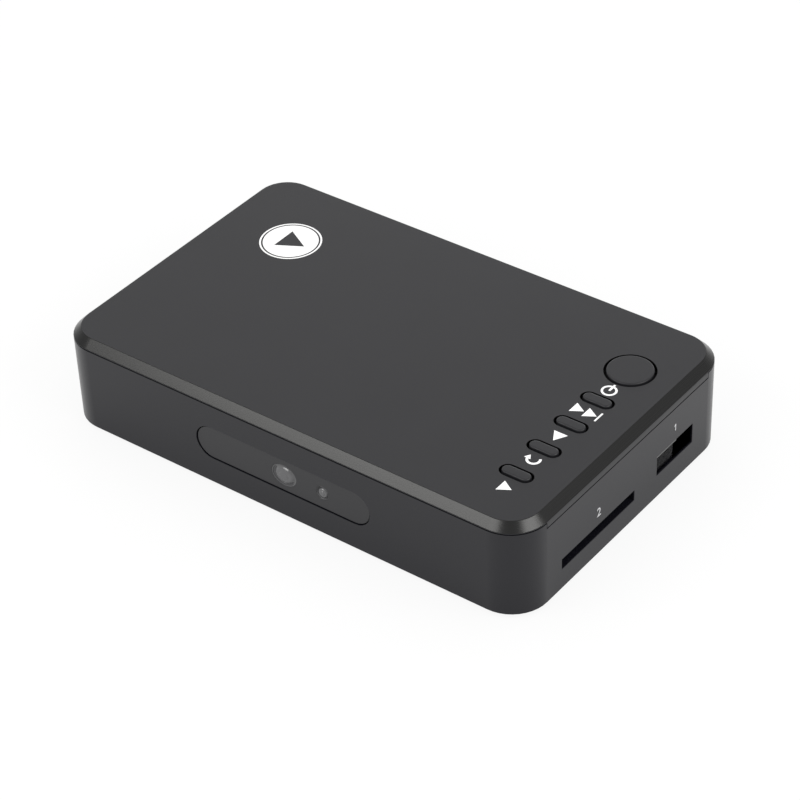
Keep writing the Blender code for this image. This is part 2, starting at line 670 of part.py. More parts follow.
def build_side_frame():
    frame = add("side_frame", wall_shape(), (0, 0, (CASE_BOTTOM + FRAME_TOP) / 2), PLAYER)
    cut(frame, case_slab("frame_hollow", WALL, CASE_BOTTOM - OVERRUN, FRAME_TOP + OVERRUN))
    cut(frame, case_slab("base_seat", WALL_SKIRT, CASE_BOTTOM - OVERRUN, FRAME_SEAT))
    high = Vector((HALF_WIDTH + OVERRUN, END_LIP_HALF + END_LIP_GAP, FRAME_TOP + OVERRUN))
    cut(frame, block("end_lip_spaces", (-high.x, -high.y, END_FRAME_TOP), high))
    front = window_front()
    recess = front + WINDOW_THICKNESS + SEAT_GAP
    cut(frame, window_block("window_recess", WINDOW_GAP, -HALF_DEPTH - OVERRUN, recess))
    inside = -HALF_DEPTH + WALL + OVERRUN
    for name, x, half_width, half_height in lens_places():
        hole = half_width * LENS_STEM_SHARE + LENS_GAP
        hole_bar = across(f"{name}_hole", x, LENS_LEVEL, hole, -HALF_DEPTH - OVERRUN, inside)
        cut(frame, flattened(hole_bar, hole, half_height * LENS_STEM_SHARE + LENS_GAP))
    half = Vector((0, DRIVE_SHELL_WIDTH / 2 + DRIVE_SIDE_GAP, DRIVE_SHELL_HEIGHT / 2 - DRIVE_EDGE_COVER))
    middle = Vector((0, DRIVE_Y, DRIVE_Z))
    start = Vector((HALF_WIDTH - WALL - OVERRUN, 0, 0))
    end = Vector((HALF_WIDTH + OVERRUN, 0, 0))
    cut(frame, block("drive_opening", middle - half + start, middle + half + end))
    half = Vector((0, DRIVE_SHELL_WIDTH / 2 + SEAT_GAP, DRIVE_SHELL_HEIGHT / 2 + SEAT_GAP))
    pocket_end = Vector((HALF_WIDTH - PORT_INSET, 0, 0))
    cut(frame, block("drive_pocket", middle - half + start, middle + half + pocket_end))
    half = Vector((0, CARD_PASSAGE_WIDTH / 2 + CARD_SLOT_SIDE, CARD_PASSAGE_HEIGHT / 2 + CARD_SLOT_MARGIN))
    middle = Vector((0, CARD_Y, PART_SEAT + CARD_FLOOR + CARD_PASSAGE_HEIGHT / 2 - CARD_SLOT_DROP))
    cut(frame, block("card_opening", middle - half + start, middle + half + end))
    inside = HALF_DEPTH - WALL - OVERRUN
    outside = HALF_DEPTH + OVERRUN
    cut(frame, video_form("video_opening", PORT_GAP, inside, outside))
    barrel = AUDIO_BARREL_RADIUS + PORT_GAP
    cut(frame, across("audio_opening", AUDIO_X, AUDIO_Z, barrel, inside, outside))
    barrel = POWER_BARREL_RADIUS + PORT_GAP
    cut(frame, across("power_opening", POWER_X, POWER_Z, barrel, inside, outside))
    return finish(frame, "case_black")


def vent_places():
    """The middles of the vent slots, row by row."""
    for row in (-1, 1):
        for column in range(VENT_COLUMNS):
            yield (
                CASE_WIDTH * PROCESSOR_X_SHARE + VENT_PITCH * (column - (VENT_COLUMNS - 1) / 2),
                row * (VENT_LENGTH + VENT_ROW_SPACE) / 2,
            )


def build_base_cover():
    base = case_slab("base_cover", BASE_INSET, CASE_BOTTOM, BASE_EDGE_TOP, PLAYER)
    rim_top = FRAME_SEAT + RIM_REACH
    fuse(base, case_slab("base_rim", RIM_INSET, CASE_BOTTOM + BASE_EDGE / 2, rim_top))
    cut(base, case_slab("base_hollow", CAVITY_INSET, BASE_FLOOR, rim_top + OVERRUN))
    inside_plate = CASE_BOTTOM + BASE_PLATE / 2
    head_hole = CASE_SCREW_HEAD_RADIUS + SEAT_GAP
    collars = rods("screw_collars", CASE_SCREWS, COLLAR_RADIUS, inside_plate, COLLAR_TOP, sides=COLLAR_SIDES)
    fuse(base, collars)
    standoff_top = BOARD_BOTTOM - SEAT_GAP
    standoffs = rods("board_standoffs", BOARD_SCREWS, STANDOFF_RADIUS, inside_plate, standoff_top,
                     sides=SMALL_SIDES)
    fuse(base, standoffs)
    head_holes = rods("screw_head_holes", CASE_SCREWS, head_hole, CASE_BOTTOM - OVERRUN, SCREW_SEAT_BOTTOM,
                      sides=COLLAR_SIDES)
    cut(base, head_holes)
    shank_hole = CASE_SCREW_RADIUS + SEAT_GAP
    shank_top = COLLAR_TOP + OVERRUN
    cut(base, rods("screw_shank_holes", CASE_SCREWS, shank_hole, CASE_BOTTOM, shank_top, sides=SMALL_SIDES))
    pilot_bottom = BOARD_TOP + SEAT_GAP - BOARD_SCREW_LENGTH - SEAT_GAP
    pilot = BOARD_SCREW_RADIUS + SEAT_GAP
    pilot_top = standoff_top + OVERRUN
    cut(base, rods("standoff_pilots", BOARD_SCREWS, pilot, pilot_bottom, pilot_top, sides=SMALL_SIDES))
    foot_hole = FOOT_RADIUS + SEAT_GAP
    foot_seat = CASE_BOTTOM + FOOT_SEAT_DEPTH
    cut(base, rods("foot_seats", FEET, foot_hole, CASE_BOTTOM - OVERRUN, foot_seat))
    half = Vector((VENT_WIDTH / 2, VENT_LENGTH / 2, 0))
    low, high = Vector((0, 0, CASE_BOTTOM - OVERRUN)), Vector((0, 0, BASE_FLOOR + OVERRUN))
    for number, (x, y) in enumerate(vent_places(), 1):
        middle = Vector((x, y, 0))
        slot = block(f"vent_{number}", middle - half + low, middle + half + high, half.x, steps=SLOT_STEPS)
        cut(base, slot)
    return finish(base, "case_black")


def build_feet():
    top = CASE_BOTTOM + FOOT_SEAT_DEPTH - SEAT_GAP
    profile = [
        (0, top),
        (FOOT_RADIUS, top),
        (FOOT_RADIUS, FOOT_ROUND),
        (FOOT_RADIUS - FOOT_ROUND, 0),
        (0, 0),
    ]
    for number, (x, y) in enumerate(FEET, 1):
        finish(turned(f"foot_{number}", profile, (x, y, 0), group=PLAYER), "rubber_black")


# Fasteners

def screw_profile(head_radius, head_height, radius, length):
    """A pan-head screw with its seat at height 0 and its shank up to a blunt tip."""
    return [
        (0, length),
        (radius - SCREW_TIP / 2, length),
        (radius, length - SCREW_TIP),
        (radius, 0),
        (head_radius, 0),
        (head_radius, -head_height / 2),
        (head_radius - SCREW_TIP, -head_height),
        (0, -head_height),
    ]


def build_screws():
    case = screw_profile(CASE_SCREW_HEAD_RADIUS, CASE_SCREW_HEAD, CASE_SCREW_RADIUS, CASE_SCREW_LENGTH)
    seat = SCREW_HEAD_BOTTOM + CASE_SCREW_HEAD
    for number, (x, y) in enumerate(CASE_SCREWS, 1):
        body = turned(f"case_screw_{number}", case, (x, y, seat), group=PLAYER, sides=SMALL_SIDES)
        finish(body, "screw_steel")
    board = screw_profile(BOARD_SCREW_HEAD_RADIUS, BOARD_SCREW_HEAD, BOARD_SCREW_RADIUS, BOARD_SCREW_LENGTH)
    for number, (x, y) in enumerate(BOARD_SCREWS, 1):
        body = turned(f"main_board_screw_{number}", board, (x, y, PART_SEAT), (0, 0, -1), PLAYER,
                      SMALL_SIDES)
        finish(body, "screw_steel")
    key = screw_profile(KEY_SCREW_HEAD_RADIUS, KEY_SCREW_HEAD, KEY_SCREW_RADIUS, KEY_SCREW_LENGTH)
    for number, (x, y) in enumerate(KEY_POSTS, 1):
        place = (x, y, KEY_BOARD_BOTTOM - SEAT_GAP)
        body = turned(f"key_board_screw_{number}", key, place, group=PLAYER, sides=SMALL_SIDES)
        finish(body, "screw_steel")


# Keys and switches

def key_cap(name, y, head, flange):
    """A key's cap: its head in the aperture, a flange under the cover and a stem to the switch."""
    middle = (KEY_X, y, (FLANGE_TOP + CASE_TOP + KEY_PROUD) / 2)
    soften_end(head, 1, KEY_ROUND)
    cap = add(name, head, middle, PLAYER)
    collar = add(f"{name}_flange", flange, (KEY_X, y, (FLANGE_TOP + FLANGE_BOTTOM) / 2))
    stem_top = FLANGE_BOTTOM + KEY_FLANGE_THICKNESS / 2
    stem = rods(f"{name}_stem", [(KEY_X, y)], KEY_STEM_RADIUS, STEM_BOTTOM, stem_top, sides=SMALL_SIDES)
    fuse(cap, collar, stem)
    return finish(cap, "key_black")


def build_keys():
    head_height = CASE_TOP + KEY_PROUD - FLANGE_TOP + KEY_FLANGE_THICKNESS
    for name, y in zip(KEY_NAMES, KEY_YS):
        head = rounded_box((KEY_LENGTH, KEY_WIDTH, head_height), KEY_WIDTH / 2)
        bmesh.ops.translate(head, vec=(0, 0, -KEY_FLANGE_THICKNESS / 2), verts=head.verts)
        flange_size = (KEY_LENGTH + 2 * KEY_FLANGE, KEY_WIDTH + 2 * KEY_FLANGE, KEY_FLANGE_THICKNESS)
        key_cap(f"{name}_button", y, head, rounded_box(flange_size, KEY_WIDTH / 2 + KEY_FLANGE))
    head = bmesh.new()
    bmesh.ops.create_cone(head, cap_ends=True, segments=2 * ROUND_SIDES, radius1=POWER_KEY_RADIUS,
                          radius2=POWER_KEY_RADIUS, depth=head_height)
    bmesh.ops.translate(head, vec=(0, 0, -KEY_FLANGE_THICKNESS / 2), verts=head.verts)
    head.normal_update()
    flange = bmesh.new()
    reach = POWER_KEY_RADIUS + KEY_FLANGE
    bmesh.ops.create_cone(flange, cap_ends=True, segments=ROUND_SIDES, radius1=reach, radius2=reach,
                          depth=KEY_FLANGE_THICKNESS)
    key_cap("power_button", POWER_KEY_Y, head, flange)


def build_switches():
    profile_low = SWITCH_TOP - SWITCH_BORE_DEPTH + KEY_TRAVEL + SEAT_GAP
    radius = SWITCH_BORE_RADIUS - SEAT_GAP
    half = Vector((SWITCH_SIZE / 2, SWITCH_SIZE / 2, 0))
    for name, y in zip(("power", *KEY_NAMES), (POWER_KEY_Y, *KEY_YS)):
        middle = Vector((KEY_X, y, 0))
        low = middle - half + Vector((0, 0, SWITCH_BOTTOM))
        high = middle + half + Vector((0, 0, SWITCH_TOP))
        body = block(f"{name}_switch", low, high, SWITCH_ROUND, group=PLAYER, steps=2)
        bore_low = SWITCH_TOP - SWITCH_BORE_DEPTH
        bore = rods(f"{name}_switch_bore", [(KEY_X, y)], SWITCH_BORE_RADIUS, bore_low, SWITCH_TOP + OVERRUN,
                    sides=SMALL_SIDES)
        cut(body, bore)
        for side in (-1, 1):
            for end in (-1, 1):
                foot = middle + Vector((side * SWITCH_SIZE / 2, end * SWITCH_SIZE * SWITCH_LEG_SHARE, 0))
                spread = Vector((SWITCH_LEG_THICKNESS, SWITCH_LEG_WIDTH / 2, 0))
                leg_low = foot - spread + Vector((0, 0, SWITCH_BOTTOM))
                leg_high = foot + spread + Vector((0, 0, SWITCH_BOTTOM + SWITCH_LEG_HEIGHT))
                fuse(body, block(f"{name}_leg_{side}_{end}", leg_low, leg_high))
        finish(body, "socket_black")
        height = PLUNGER_TOP - profile_low
        plunger = turned(f"{name}_plunger", [
            (0, height),
            (radius - PLUNGER_ROUND, height),
            (radius, height - PLUNGER_ROUND),
            (radius, 0),
            (0, 0),
        ], (KEY_X, y, profile_low), group=PLAYER, sides=SMALL_SIDES)
        finish(plunger, "socket_white")


def build_key_board():
    reach = KEY_BOARD_MARGIN + KEY_SCREW_HEAD_RADIUS
    low = (KEY_X - KEY_POST_OFFSET - reach, LAST_KEY_Y - HALF_SWITCH_SPACE, KEY_BOARD_BOTTOM)
    high_x = min(KEY_X + KEY_POST_OFFSET + reach, HALF_WIDTH - WALL - BOARD_MARGIN)
    high = (high_x, POWER_KEY_Y + HALF_SWITCH_SPACE, KEY_BOARD_TOP)
    board = block("key_board", low, high, KEY_BOARD_ROUND, group=PLAYER, steps=2)
    hole = KEY_SCREW_RADIUS + SEAT_GAP
    bottom = KEY_BOARD_BOTTOM - OVERRUN
    cut(board, rods("key_board_holes", KEY_POSTS, hole, bottom, KEY_BOARD_TOP + OVERRUN, sides=SMALL_SIDES))
    return finish(board, "board_green")


# Front window

def lens_places():
    return (
        ("receiver_lens", RECEIVER_X, RECEIVER_LENS_WIDTH / 2, RECEIVER_LENS_HEIGHT / 2),
        ("indicator_lens", INDICATOR_X, INDICATOR_LENS_RADIUS, INDICATOR_LENS_RADIUS),
    )


def build_window():
    front = window_front()
    window = window_block("sensor_window", 0.0, front, front + WINDOW_THICKNESS, PLAYER)
    for name, x, half_width, half_height in lens_places():
        hole_end = front + WINDOW_THICKNESS + OVERRUN
        hole = half_width + LENS_GAP
        seat = across(f"{name}_seat", x, LENS_LEVEL, hole, front - OVERRUN, hole_end)
        cut(window, flattened(seat, hole, half_height + LENS_GAP))
    finish(window, "window_black")
    for name, x, half_width, half_height in lens_places():
        head = WINDOW_THICKNESS
        length = WALL - WALL_DRAFT + LENS_REACH
        stem = half_width * LENS_STEM_SHARE
        profile = [
            (0, 0),
            (half_width, 0),
            (half_width, -head),
            (stem, -head),
            (stem, -length),
            (0, -length),
        ]
        lens = turned(name, profile, (x, front, LENS_LEVEL), (0, -1, 0), PLAYER)
        finish(flattened(lens, half_width, half_height), "lens_grey")


def lens_end():
    return window_front() + WALL - WALL_DRAFT + LENS_REACH


def build_receiver():
    """The receiver's block with its dome towards the lens, on three legs."""
    front = lens_end() + SEAT_GAP + RECEIVER_DOME_RADIUS / 2
    half = RECEIVER_WIDTH / 2
    low = LENS_LEVEL - RECEIVER_HEIGHT / 2
    body = block("infrared_receiver", (RECEIVER_X - half, front, low),
                 (RECEIVER_X + half, front + RECEIVER_THICKNESS, low + RECEIVER_HEIGHT), group=PLAYER)
    dome = [(0, RECEIVER_DOME_RADIUS / 2)]
    for step in range(1, ARC_STEPS + 1):
        turn = pi / 2 * step / ARC_STEPS
        dome.append((RECEIVER_DOME_RADIUS * sin(turn), RECEIVER_DOME_RADIUS / 2 * cos(turn)))
    dome.append((RECEIVER_DOME_RADIUS, -RECEIVER_THICKNESS / 2))
    dome.append((0, -RECEIVER_THICKNESS / 2))
    fuse(body, turned("receiver_dome", dome, (RECEIVER_X, front, LENS_LEVEL), (0, -1, 0), sides=SMALL_SIDES))
    middle = front + RECEIVER_THICKNESS / 2
    for place in (-1, 0, 1):
        x = RECEIVER_X + RECEIVER_LEG_PITCH * place
        leg_low = (x - LEG_WIDTH / 2, middle - LEG_WIDTH / 2, PART_SEAT)
        leg_high = (x + LEG_WIDTH / 2, middle + LEG_WIDTH / 2, low + RECEIVER_HEIGHT / 2)
        fuse(body, block(f"receiver_leg_{place}", leg_low, leg_high))
    return finish(body, "chip_black")


def build_led():
    """A round LED that lies on its side towards its lens, with two legs bent down to the board."""
    tip = lens_end() + SEAT_GAP
    length = LED_BODY + LED_RADIUS + LED_FLANGE
    profile = [(0, length)]
    for step in range(1, ARC_STEPS + 1):
        turn = pi / 2 * step / ARC_STEPS
        profile.append((LED_RADIUS * sin(turn), length - LED_RADIUS + LED_RADIUS * cos(turn)))
    profile += [
        (LED_RADIUS, LED_FLANGE),
        (LED_FLANGE_RADIUS, LED_FLANGE),
        (LED_FLANGE_RADIUS, 0),
        (0, 0),
    ]
    back = tip + length
    led = turned("status_led", profile, (INDICATOR_X, back, LENS_LEVEL), (0, -1, 0), PLAYER, SMALL_SIDES)
    for side in (-1, 1):
        x = INDICATOR_X + side * LED_LEG_PITCH / 2
        low = (x - LEG_WIDTH / 2, back - LED_FLANGE / 2, LENS_LEVEL - LEG_WIDTH / 2)
        high = (x + LEG_WIDTH / 2, back + LED_LEG_BACK, LENS_LEVEL + LEG_WIDTH / 2)
        lower = (x - LEG_WIDTH / 2, back + LED_LEG_BACK - LEG_WIDTH, PART_SEAT)
        fuse(led, block(f"led_leg_{side}", low, high), block(f"led_foot_{side}", lower, high))
    return finish(led, "led_red")


# Main board and what stands on it

def build_main_board():
    slab = rounded_box(case_size(BOARD_INSET, BOARD_BOTTOM, BOARD_TOP), BOARD_CORNER, steps=2)
    board = add("main_board", slab, (0, 0, (BOARD_BOTTOM + BOARD_TOP) / 2), PLAYER)
    reach = COLLAR_RADIUS + BOARD_MARGIN
    low, high = BOARD_BOTTOM - OVERRUN, BOARD_TOP + OVERRUN
    for number, (x, y) in enumerate(CASE_SCREWS, 1):
        inner_x, inner_y = abs(x) - reach, abs(y) - reach
        outer_x, outer_y = HALF_WIDTH, HALF_DEPTH
        side, end = (1 if x > 0 else -1), (1 if y > 0 else -1)
        corners_x = sorted((side * inner_x, side * outer_x))
        corners_y = sorted((end * inner_y, end * outer_y))
        notch = block(f"board_notch_{number}", (corners_x[0], corners_y[0], low),
                      (corners_x[1], corners_y[1], high), BOARD_CORNER, steps=2)
        cut(board, notch)
    hole = BOARD_SCREW_RADIUS + SEAT_GAP
    cut(board, rods("board_holes", BOARD_SCREWS, hole, low, high, sides=SMALL_SIDES))
    return finish(board, "board_green")


def tube_block(name, low, high, sheet, group=PLAYER):
    """A square tube along X with a sheet's thickness of wall."""
    low, high = Vector(low), Vector(high)
    shell = block(name, low, high, group=group)
    hollow_low = low + Vector((-OVERRUN, sheet, sheet))
    hollow_high = high + Vector((OVERRUN, -sheet, -sheet))
    cut(shell, block(f"{name}_hollow", hollow_low, hollow_high))
    return shell


def build_drive_socket():
    half = Vector((0, DRIVE_SHELL_WIDTH / 2, DRIVE_SHELL_HEIGHT / 2))
    middle = Vector((0, DRIVE_Y, DRIVE_Z))
    back_x = DRIVE_MOUTH_X - DRIVE_SHELL_DEPTH
    low = middle - half + Vector((back_x, 0, 0))
    high = middle + half + Vector((DRIVE_MOUTH_X, 0, 0))
    shell = tube_block("drive_socket_shell", low, high, SHEET)
    for side in (-1, 1):
        for share in (DRIVE_LEG_SHARE, 1 - DRIVE_LEG_SHARE):
            x = back_x + DRIVE_SHELL_DEPTH * share
            edge = DRIVE_Y + side * DRIVE_SHELL_WIDTH / 2
            sides = sorted((edge, edge - side * SHEET))
            leg_low = (x - DRIVE_LEG_LENGTH / 2, sides[0], PART_SEAT)
            leg_high = (x + DRIVE_LEG_LENGTH / 2, sides[1], DRIVE_Z)
            fuse(shell, block(f"drive_leg_{side}_{share}", leg_low, leg_high))
    lip_low = (DRIVE_MOUTH_X - DRIVE_LIP_DEPTH, low.y + SHEET / 2, high.z - SHEET - DRIVE_LIP)
    lip_high = (DRIVE_MOUTH_X, DRIVE_Y, high.z - SHEET / 2)
    fuse(shell, block("drive_lip", lip_low, lip_high))
    finish(shell, "sheet_steel")
    inner_low, inner_high = low.z + SHEET, high.z - SHEET
    width = DRIVE_SHELL_WIDTH / 2 - SHEET - SEAT_GAP
    back = block("drive_socket_tongue", (back_x, DRIVE_Y - width, inner_low + SEAT_GAP),
                 (back_x + DRIVE_TONGUE_BACK, DRIVE_Y + width, inner_high - SEAT_GAP), group=PLAYER)
    tongue_low = inner_low + DRIVE_TONGUE_BELOW
    tongue_tip = DRIVE_MOUTH_X - DRIVE_MOUTH_DEPTH
    half_tongue = DRIVE_SHELL_WIDTH / 2 - SHEET - DRIVE_TONGUE_SIDE
    tongue = block("drive_tongue_bar", (back_x + DRIVE_TONGUE_BACK / 2, DRIVE_Y - half_tongue, tongue_low),
                   (tongue_tip, DRIVE_Y + half_tongue, inner_high - DRIVE_TONGUE_ABOVE))
    fuse(back, tongue)
    finish(back, "socket_black")


def build_card_socket():
    """A moulded base with two side rails and a stop, under a sheet-metal cover."""
    back_x = CARD_MOUTH_X - CARD_DEPTH
    half = CARD_PASSAGE_WIDTH / 2
    floor_top = PART_SEAT + CARD_FLOOR
    rail_top = floor_top + CARD_PASSAGE_HEIGHT
    base = block("card_socket_base", (back_x, CARD_Y - CARD_HALF_WIDTH, PART_SEAT),
                 (CARD_MOUTH_X, CARD_Y + CARD_HALF_WIDTH, rail_top), group=PLAYER)
    passage = block("card_passage", (back_x + CARD_STOP, CARD_Y - half, floor_top),
                    (CARD_MOUTH_X + OVERRUN, CARD_Y + half, rail_top + OVERRUN))
    cut(base, passage)
    for place in range(CARD_CONTACT_COUNT):
        y = CARD_Y + CARD_CONTACT_PITCH * (place - (CARD_CONTACT_COUNT - 1) / 2)
        x = back_x + CARD_STOP
        low = (x - CARD_STOP / 2, y - CARD_CONTACT_WIDTH / 2, floor_top - CARD_FLOOR / 2)
        high = (x + CARD_CONTACT_LENGTH, y + CARD_CONTACT_WIDTH / 2, floor_top + CARD_CONTACT_HEIGHT)
        fuse(base, block(f"card_contact_{place + 1}", low, high))
    finish(base, "socket_black")
    inner = CARD_COVER_HALF - SHEET
    under = rail_top + SEAT_GAP
    front_x = CARD_MOUTH_X - SEAT_GAP
    cover = block("card_socket_cover", (back_x + CARD_COVER_BACK, CARD_Y - CARD_COVER_HALF, PART_SEAT),
                  (front_x, CARD_Y + CARD_COVER_HALF, under + SHEET), group=PLAYER)
    hollow = block("card_cover_hollow", (back_x, CARD_Y - inner, PART_SEAT - OVERRUN),
                   (CARD_MOUTH_X + OVERRUN, CARD_Y + inner, under))
    cut(cover, hollow)
    finish(cover, "sheet_steel")


def video_form(name, reach, front, back, group=CUTTERS):
    """The video socket's outline, with its two lower corners cut off, grown by a reach."""
    half = VIDEO_WIDTH / 2 + reach
    top, bottom = VIDEO_HEIGHT / 2 + reach, -VIDEO_HEIGHT / 2 - reach
    slope_x, slope_z = half - VIDEO_SLOPE_WIDTH, bottom + VIDEO_SLOPE_HEIGHT
    points = [
        (-half, top),
        (-half, slope_z),
        (-slope_x, bottom),
        (slope_x, bottom),
        (half, slope_z),
        (half, top),
    ]
    location = (VIDEO_X, (front + back) / 2, VIDEO_Z)
    return outline(name, points, back - front, location, (pi / 2, 0, 0), group)


def build_video_socket():
    front = REAR_PORT_Y
    back = front - VIDEO_DEPTH
    shell = video_form("video_socket_shell", 0.0, back, front, PLAYER)
    cut(shell, video_form("video_socket_hollow", -SHEET, back - OVERRUN, front + OVERRUN))
    finish(shell, "sheet_steel")
    tongue = video_form("video_socket_tongue", -SHEET - SEAT_GAP, back, back + VIDEO_BACK, PLAYER)
    half = VIDEO_WIDTH / 2 - SHEET - VIDEO_TONGUE_SIDE
    low = (VIDEO_X - half, back + VIDEO_BACK / 2, VIDEO_Z - VIDEO_TONGUE_THICKNESS / 2)
    high = (VIDEO_X + half, front - VIDEO_MOUTH_DEPTH, VIDEO_Z + VIDEO_TONGUE_THICKNESS / 2)
    fuse(tongue, block("video_tongue_bar", low, high))
    finish(tongue, "socket_black")


def jack(name, x, z, width, height, depth, barrel, bore, bore_depth):
    """A moulded jack behind the rear wall, with its barrel in the wall's hole and its bore."""
    body = block(name, (x - width / 2, REAR_SEAT_Y - depth, PART_SEAT),
                 (x + width / 2, REAR_SEAT_Y, PART_SEAT + height), HOUSING_ROUND, "Y", PLAYER, 2)
    fuse(body, across(f"{name}_barrel", x, z, barrel, REAR_SEAT_Y - depth / 2, REAR_PORT_Y))
    cut(body, across(f"{name}_bore", x, z, bore, REAR_PORT_Y - bore_depth, REAR_PORT_Y + OVERRUN))
    return body


def build_jacks():
    audio = jack("audio_jack", AUDIO_X, AUDIO_Z, AUDIO_WIDTH, AUDIO_HEIGHT, AUDIO_DEPTH,
                 AUDIO_BARREL_RADIUS, AUDIO_BORE_RADIUS, AUDIO_BORE_DEPTH)
    finish(audio, "socket_black")
    power = jack("power_jack", POWER_X, POWER_Z, POWER_WIDTH, POWER_HEIGHT, POWER_DEPTH,
                 POWER_BARREL_RADIUS, POWER_BORE_RADIUS, POWER_BORE_DEPTH)
    rear = REAR_SEAT_Y - POWER_DEPTH
    pin_hole = POWER_PIN_RADIUS + SEAT_GAP
    cut(power, across("power_pin_hole", POWER_X, POWER_Z, pin_hole, rear - OVERRUN, REAR_PORT_Y,
                      SMALL_SIDES))
    finish(power, "socket_black")
    length = REAR_PORT_Y - POWER_PIN_RECESS - rear + POWER_PIN_TAIL
    profile = [
        (0, length),
        (POWER_PIN_RADIUS - SCREW_TIP / 2, length),
        (POWER_PIN_RADIUS, length - SCREW_TIP),
        (POWER_PIN_RADIUS, 0),
        (0, 0),
    ]
    pin = turned("power_jack_pin", profile, (POWER_X, rear - POWER_PIN_TAIL, POWER_Z), (0, 1, 0), PLAYER,
                 SMALL_SIDES)
    finish(pin, "sheet_steel")


def chip(name, x, y, length, width, surface="chip_black"):
    low = (x - length / 2, y - width / 2, PART_SEAT)
    high = (x + length / 2, y + width / 2, PART_SEAT + CHIP_HEIGHT)
    body = block(name, low, high, CHIP_ROUND, group=PLAYER, steps=1)
    return finish(body, surface)


def build_processor():
    x = CASE_WIDTH * PROCESSOR_X_SHARE
    half = PROCESSOR_SIZE / 2
    chip_top = PART_SEAT + PROCESSOR_HEIGHT
    body = block("processor", (x - half, -half, PART_SEAT), (x + half, half, PART_SEAT + PROCESSOR_SUBSTRATE),
                 group=PLAYER)
    inner = half * PROCESSOR_MOULD_SHARE
    mould = block("processor_mould", (x - inner, -inner, PART_SEAT + PROCESSOR_SUBSTRATE / 2),
                  (x + inner, inner, chip_top), CHIP_ROUND, steps=1)
    fuse(body, mould)
    finish(body, "chip_black")
    half = HEAT_SINK_SIZE / 2
    pitch = (HEAT_SINK_SIZE - HEAT_SINK_FIN) / (HEAT_SINK_FINS - 1)
    points = [(-half, 0)]
    for fin in range(HEAT_SINK_FINS):
        left = -half + pitch * fin
        right = left + HEAT_SINK_FIN
        if fin:
            points.append((left, HEAT_SINK_PLATE))
        points += [(left, HEAT_SINK_HEIGHT), (right, HEAT_SINK_HEIGHT)]
        if fin < HEAT_SINK_FINS - 1:
            points.append((right, HEAT_SINK_PLATE))
    points.append((half, 0))
    sink = outline("heat_sink", points, HEAT_SINK_SIZE, (x, 0, chip_top + SEAT_GAP), (pi / 2, 0, 0), PLAYER)
    finish(sink, "fin_aluminium")


def build_memory():
    chip("memory_chip", CASE_WIDTH * MEMORY_X_SHARE, CASE_DEPTH * MEMORY_Y_SHARE, MEMORY_WIDTH, MEMORY_LENGTH)
    x, y = CASE_WIDTH * FLASH_X_SHARE, CASE_DEPTH * FLASH_Y_SHARE
    store = chip("flash_memory_chip", x, y, FLASH_LENGTH, FLASH_WIDTH)
    leg_top = PART_SEAT + CHIP_HEIGHT * FLASH_LEG_SHARE
    reach = FLASH_WIDTH / 2 + FLASH_LEG_REACH
    for place in range(FLASH_LEG_COUNT):
        leg_x = x + FLASH_LEG_PITCH * (place - (FLASH_LEG_COUNT - 1) / 2)
        for side in (-1, 1):
            ends = sorted((y + side * reach, y + side * FLASH_WIDTH * FLASH_LEG_SHARE))
            low = (leg_x - FLASH_LEG_WIDTH / 2, ends[0], PART_SEAT)
            high = (leg_x + FLASH_LEG_WIDTH / 2, ends[1], leg_top)
            fuse(store, block(f"flash_leg_{place + 1}_{side}", low, high))


def build_crystal():
    x, y = CASE_WIDTH * CRYSTAL_X_SHARE, CASE_DEPTH * CRYSTAL_Y_SHARE
    half = Vector((CRYSTAL_LENGTH / 2, CRYSTAL_WIDTH / 2, 0))
    middle = Vector((x, y, PART_SEAT))
    can = block("crystal", middle - half, middle + half + Vector((0, 0, CRYSTAL_RIM)), half.y, group=PLAYER)
    inner = half - Vector((CRYSTAL_RIM, CRYSTAL_RIM, 0))
    low = middle - inner + Vector((0, 0, CRYSTAL_RIM / 2))
    fuse(can, block("crystal_can", low, middle + inner + Vector((0, 0, CRYSTAL_HEIGHT)), inner.y))
    finish(can, "sheet_steel")


def build_power_parts():
    top = CAPACITOR_HEIGHT
    groove = CAPACITOR_RADIUS - CAPACITOR_GROOVE
    profile = [
        (0, top),
        (groove, top),
        (CAPACITOR_RADIUS, top - CAPACITOR_GROOVE),
        (CAPACITOR_RADIUS, CAPACITOR_GROOVE_RISE + CAPACITOR_GROOVE),
        (groove, CAPACITOR_GROOVE_RISE),
        (CAPACITOR_RADIUS, CAPACITOR_GROOVE_RISE - CAPACITOR_GROOVE),
        (CAPACITOR_RADIUS, 0),
        (0, 0),
    ]
    for number in (1, 2):
        x = CASE_WIDTH * CAPACITOR_X_SHARE
        y = CASE_DEPTH * CAPACITOR_Y_SHARE - CAPACITOR_PITCH * (number - 1)
        can = turned(f"capacitor_{number}", profile, (x, y, PART_SEAT), group=PLAYER, sides=SMALL_SIDES)
        finish(can, "fin_aluminium")
    middle = Vector((CASE_WIDTH * INDUCTOR_X_SHARE, CASE_DEPTH * INDUCTOR_Y_SHARE, PART_SEAT))
    half = Vector((INDUCTOR_SIZE / 2, INDUCTOR_SIZE / 2, 0))
    coil = block("inductor", middle - half, middle + half + Vector((0, 0, INDUCTOR_BASE)), INDUCTOR_ROUND,
                 group=PLAYER, steps=2)
    core_low = PART_SEAT + INDUCTOR_BASE / 2
    core_radius = INDUCTOR_SIZE / 2 - CHIP_ROUND
    fuse(coil, rods("inductor_core", [middle.xy], core_radius, core_low, PART_SEAT + INDUCTOR_HEIGHT))
    finish(coil, "chip_black")


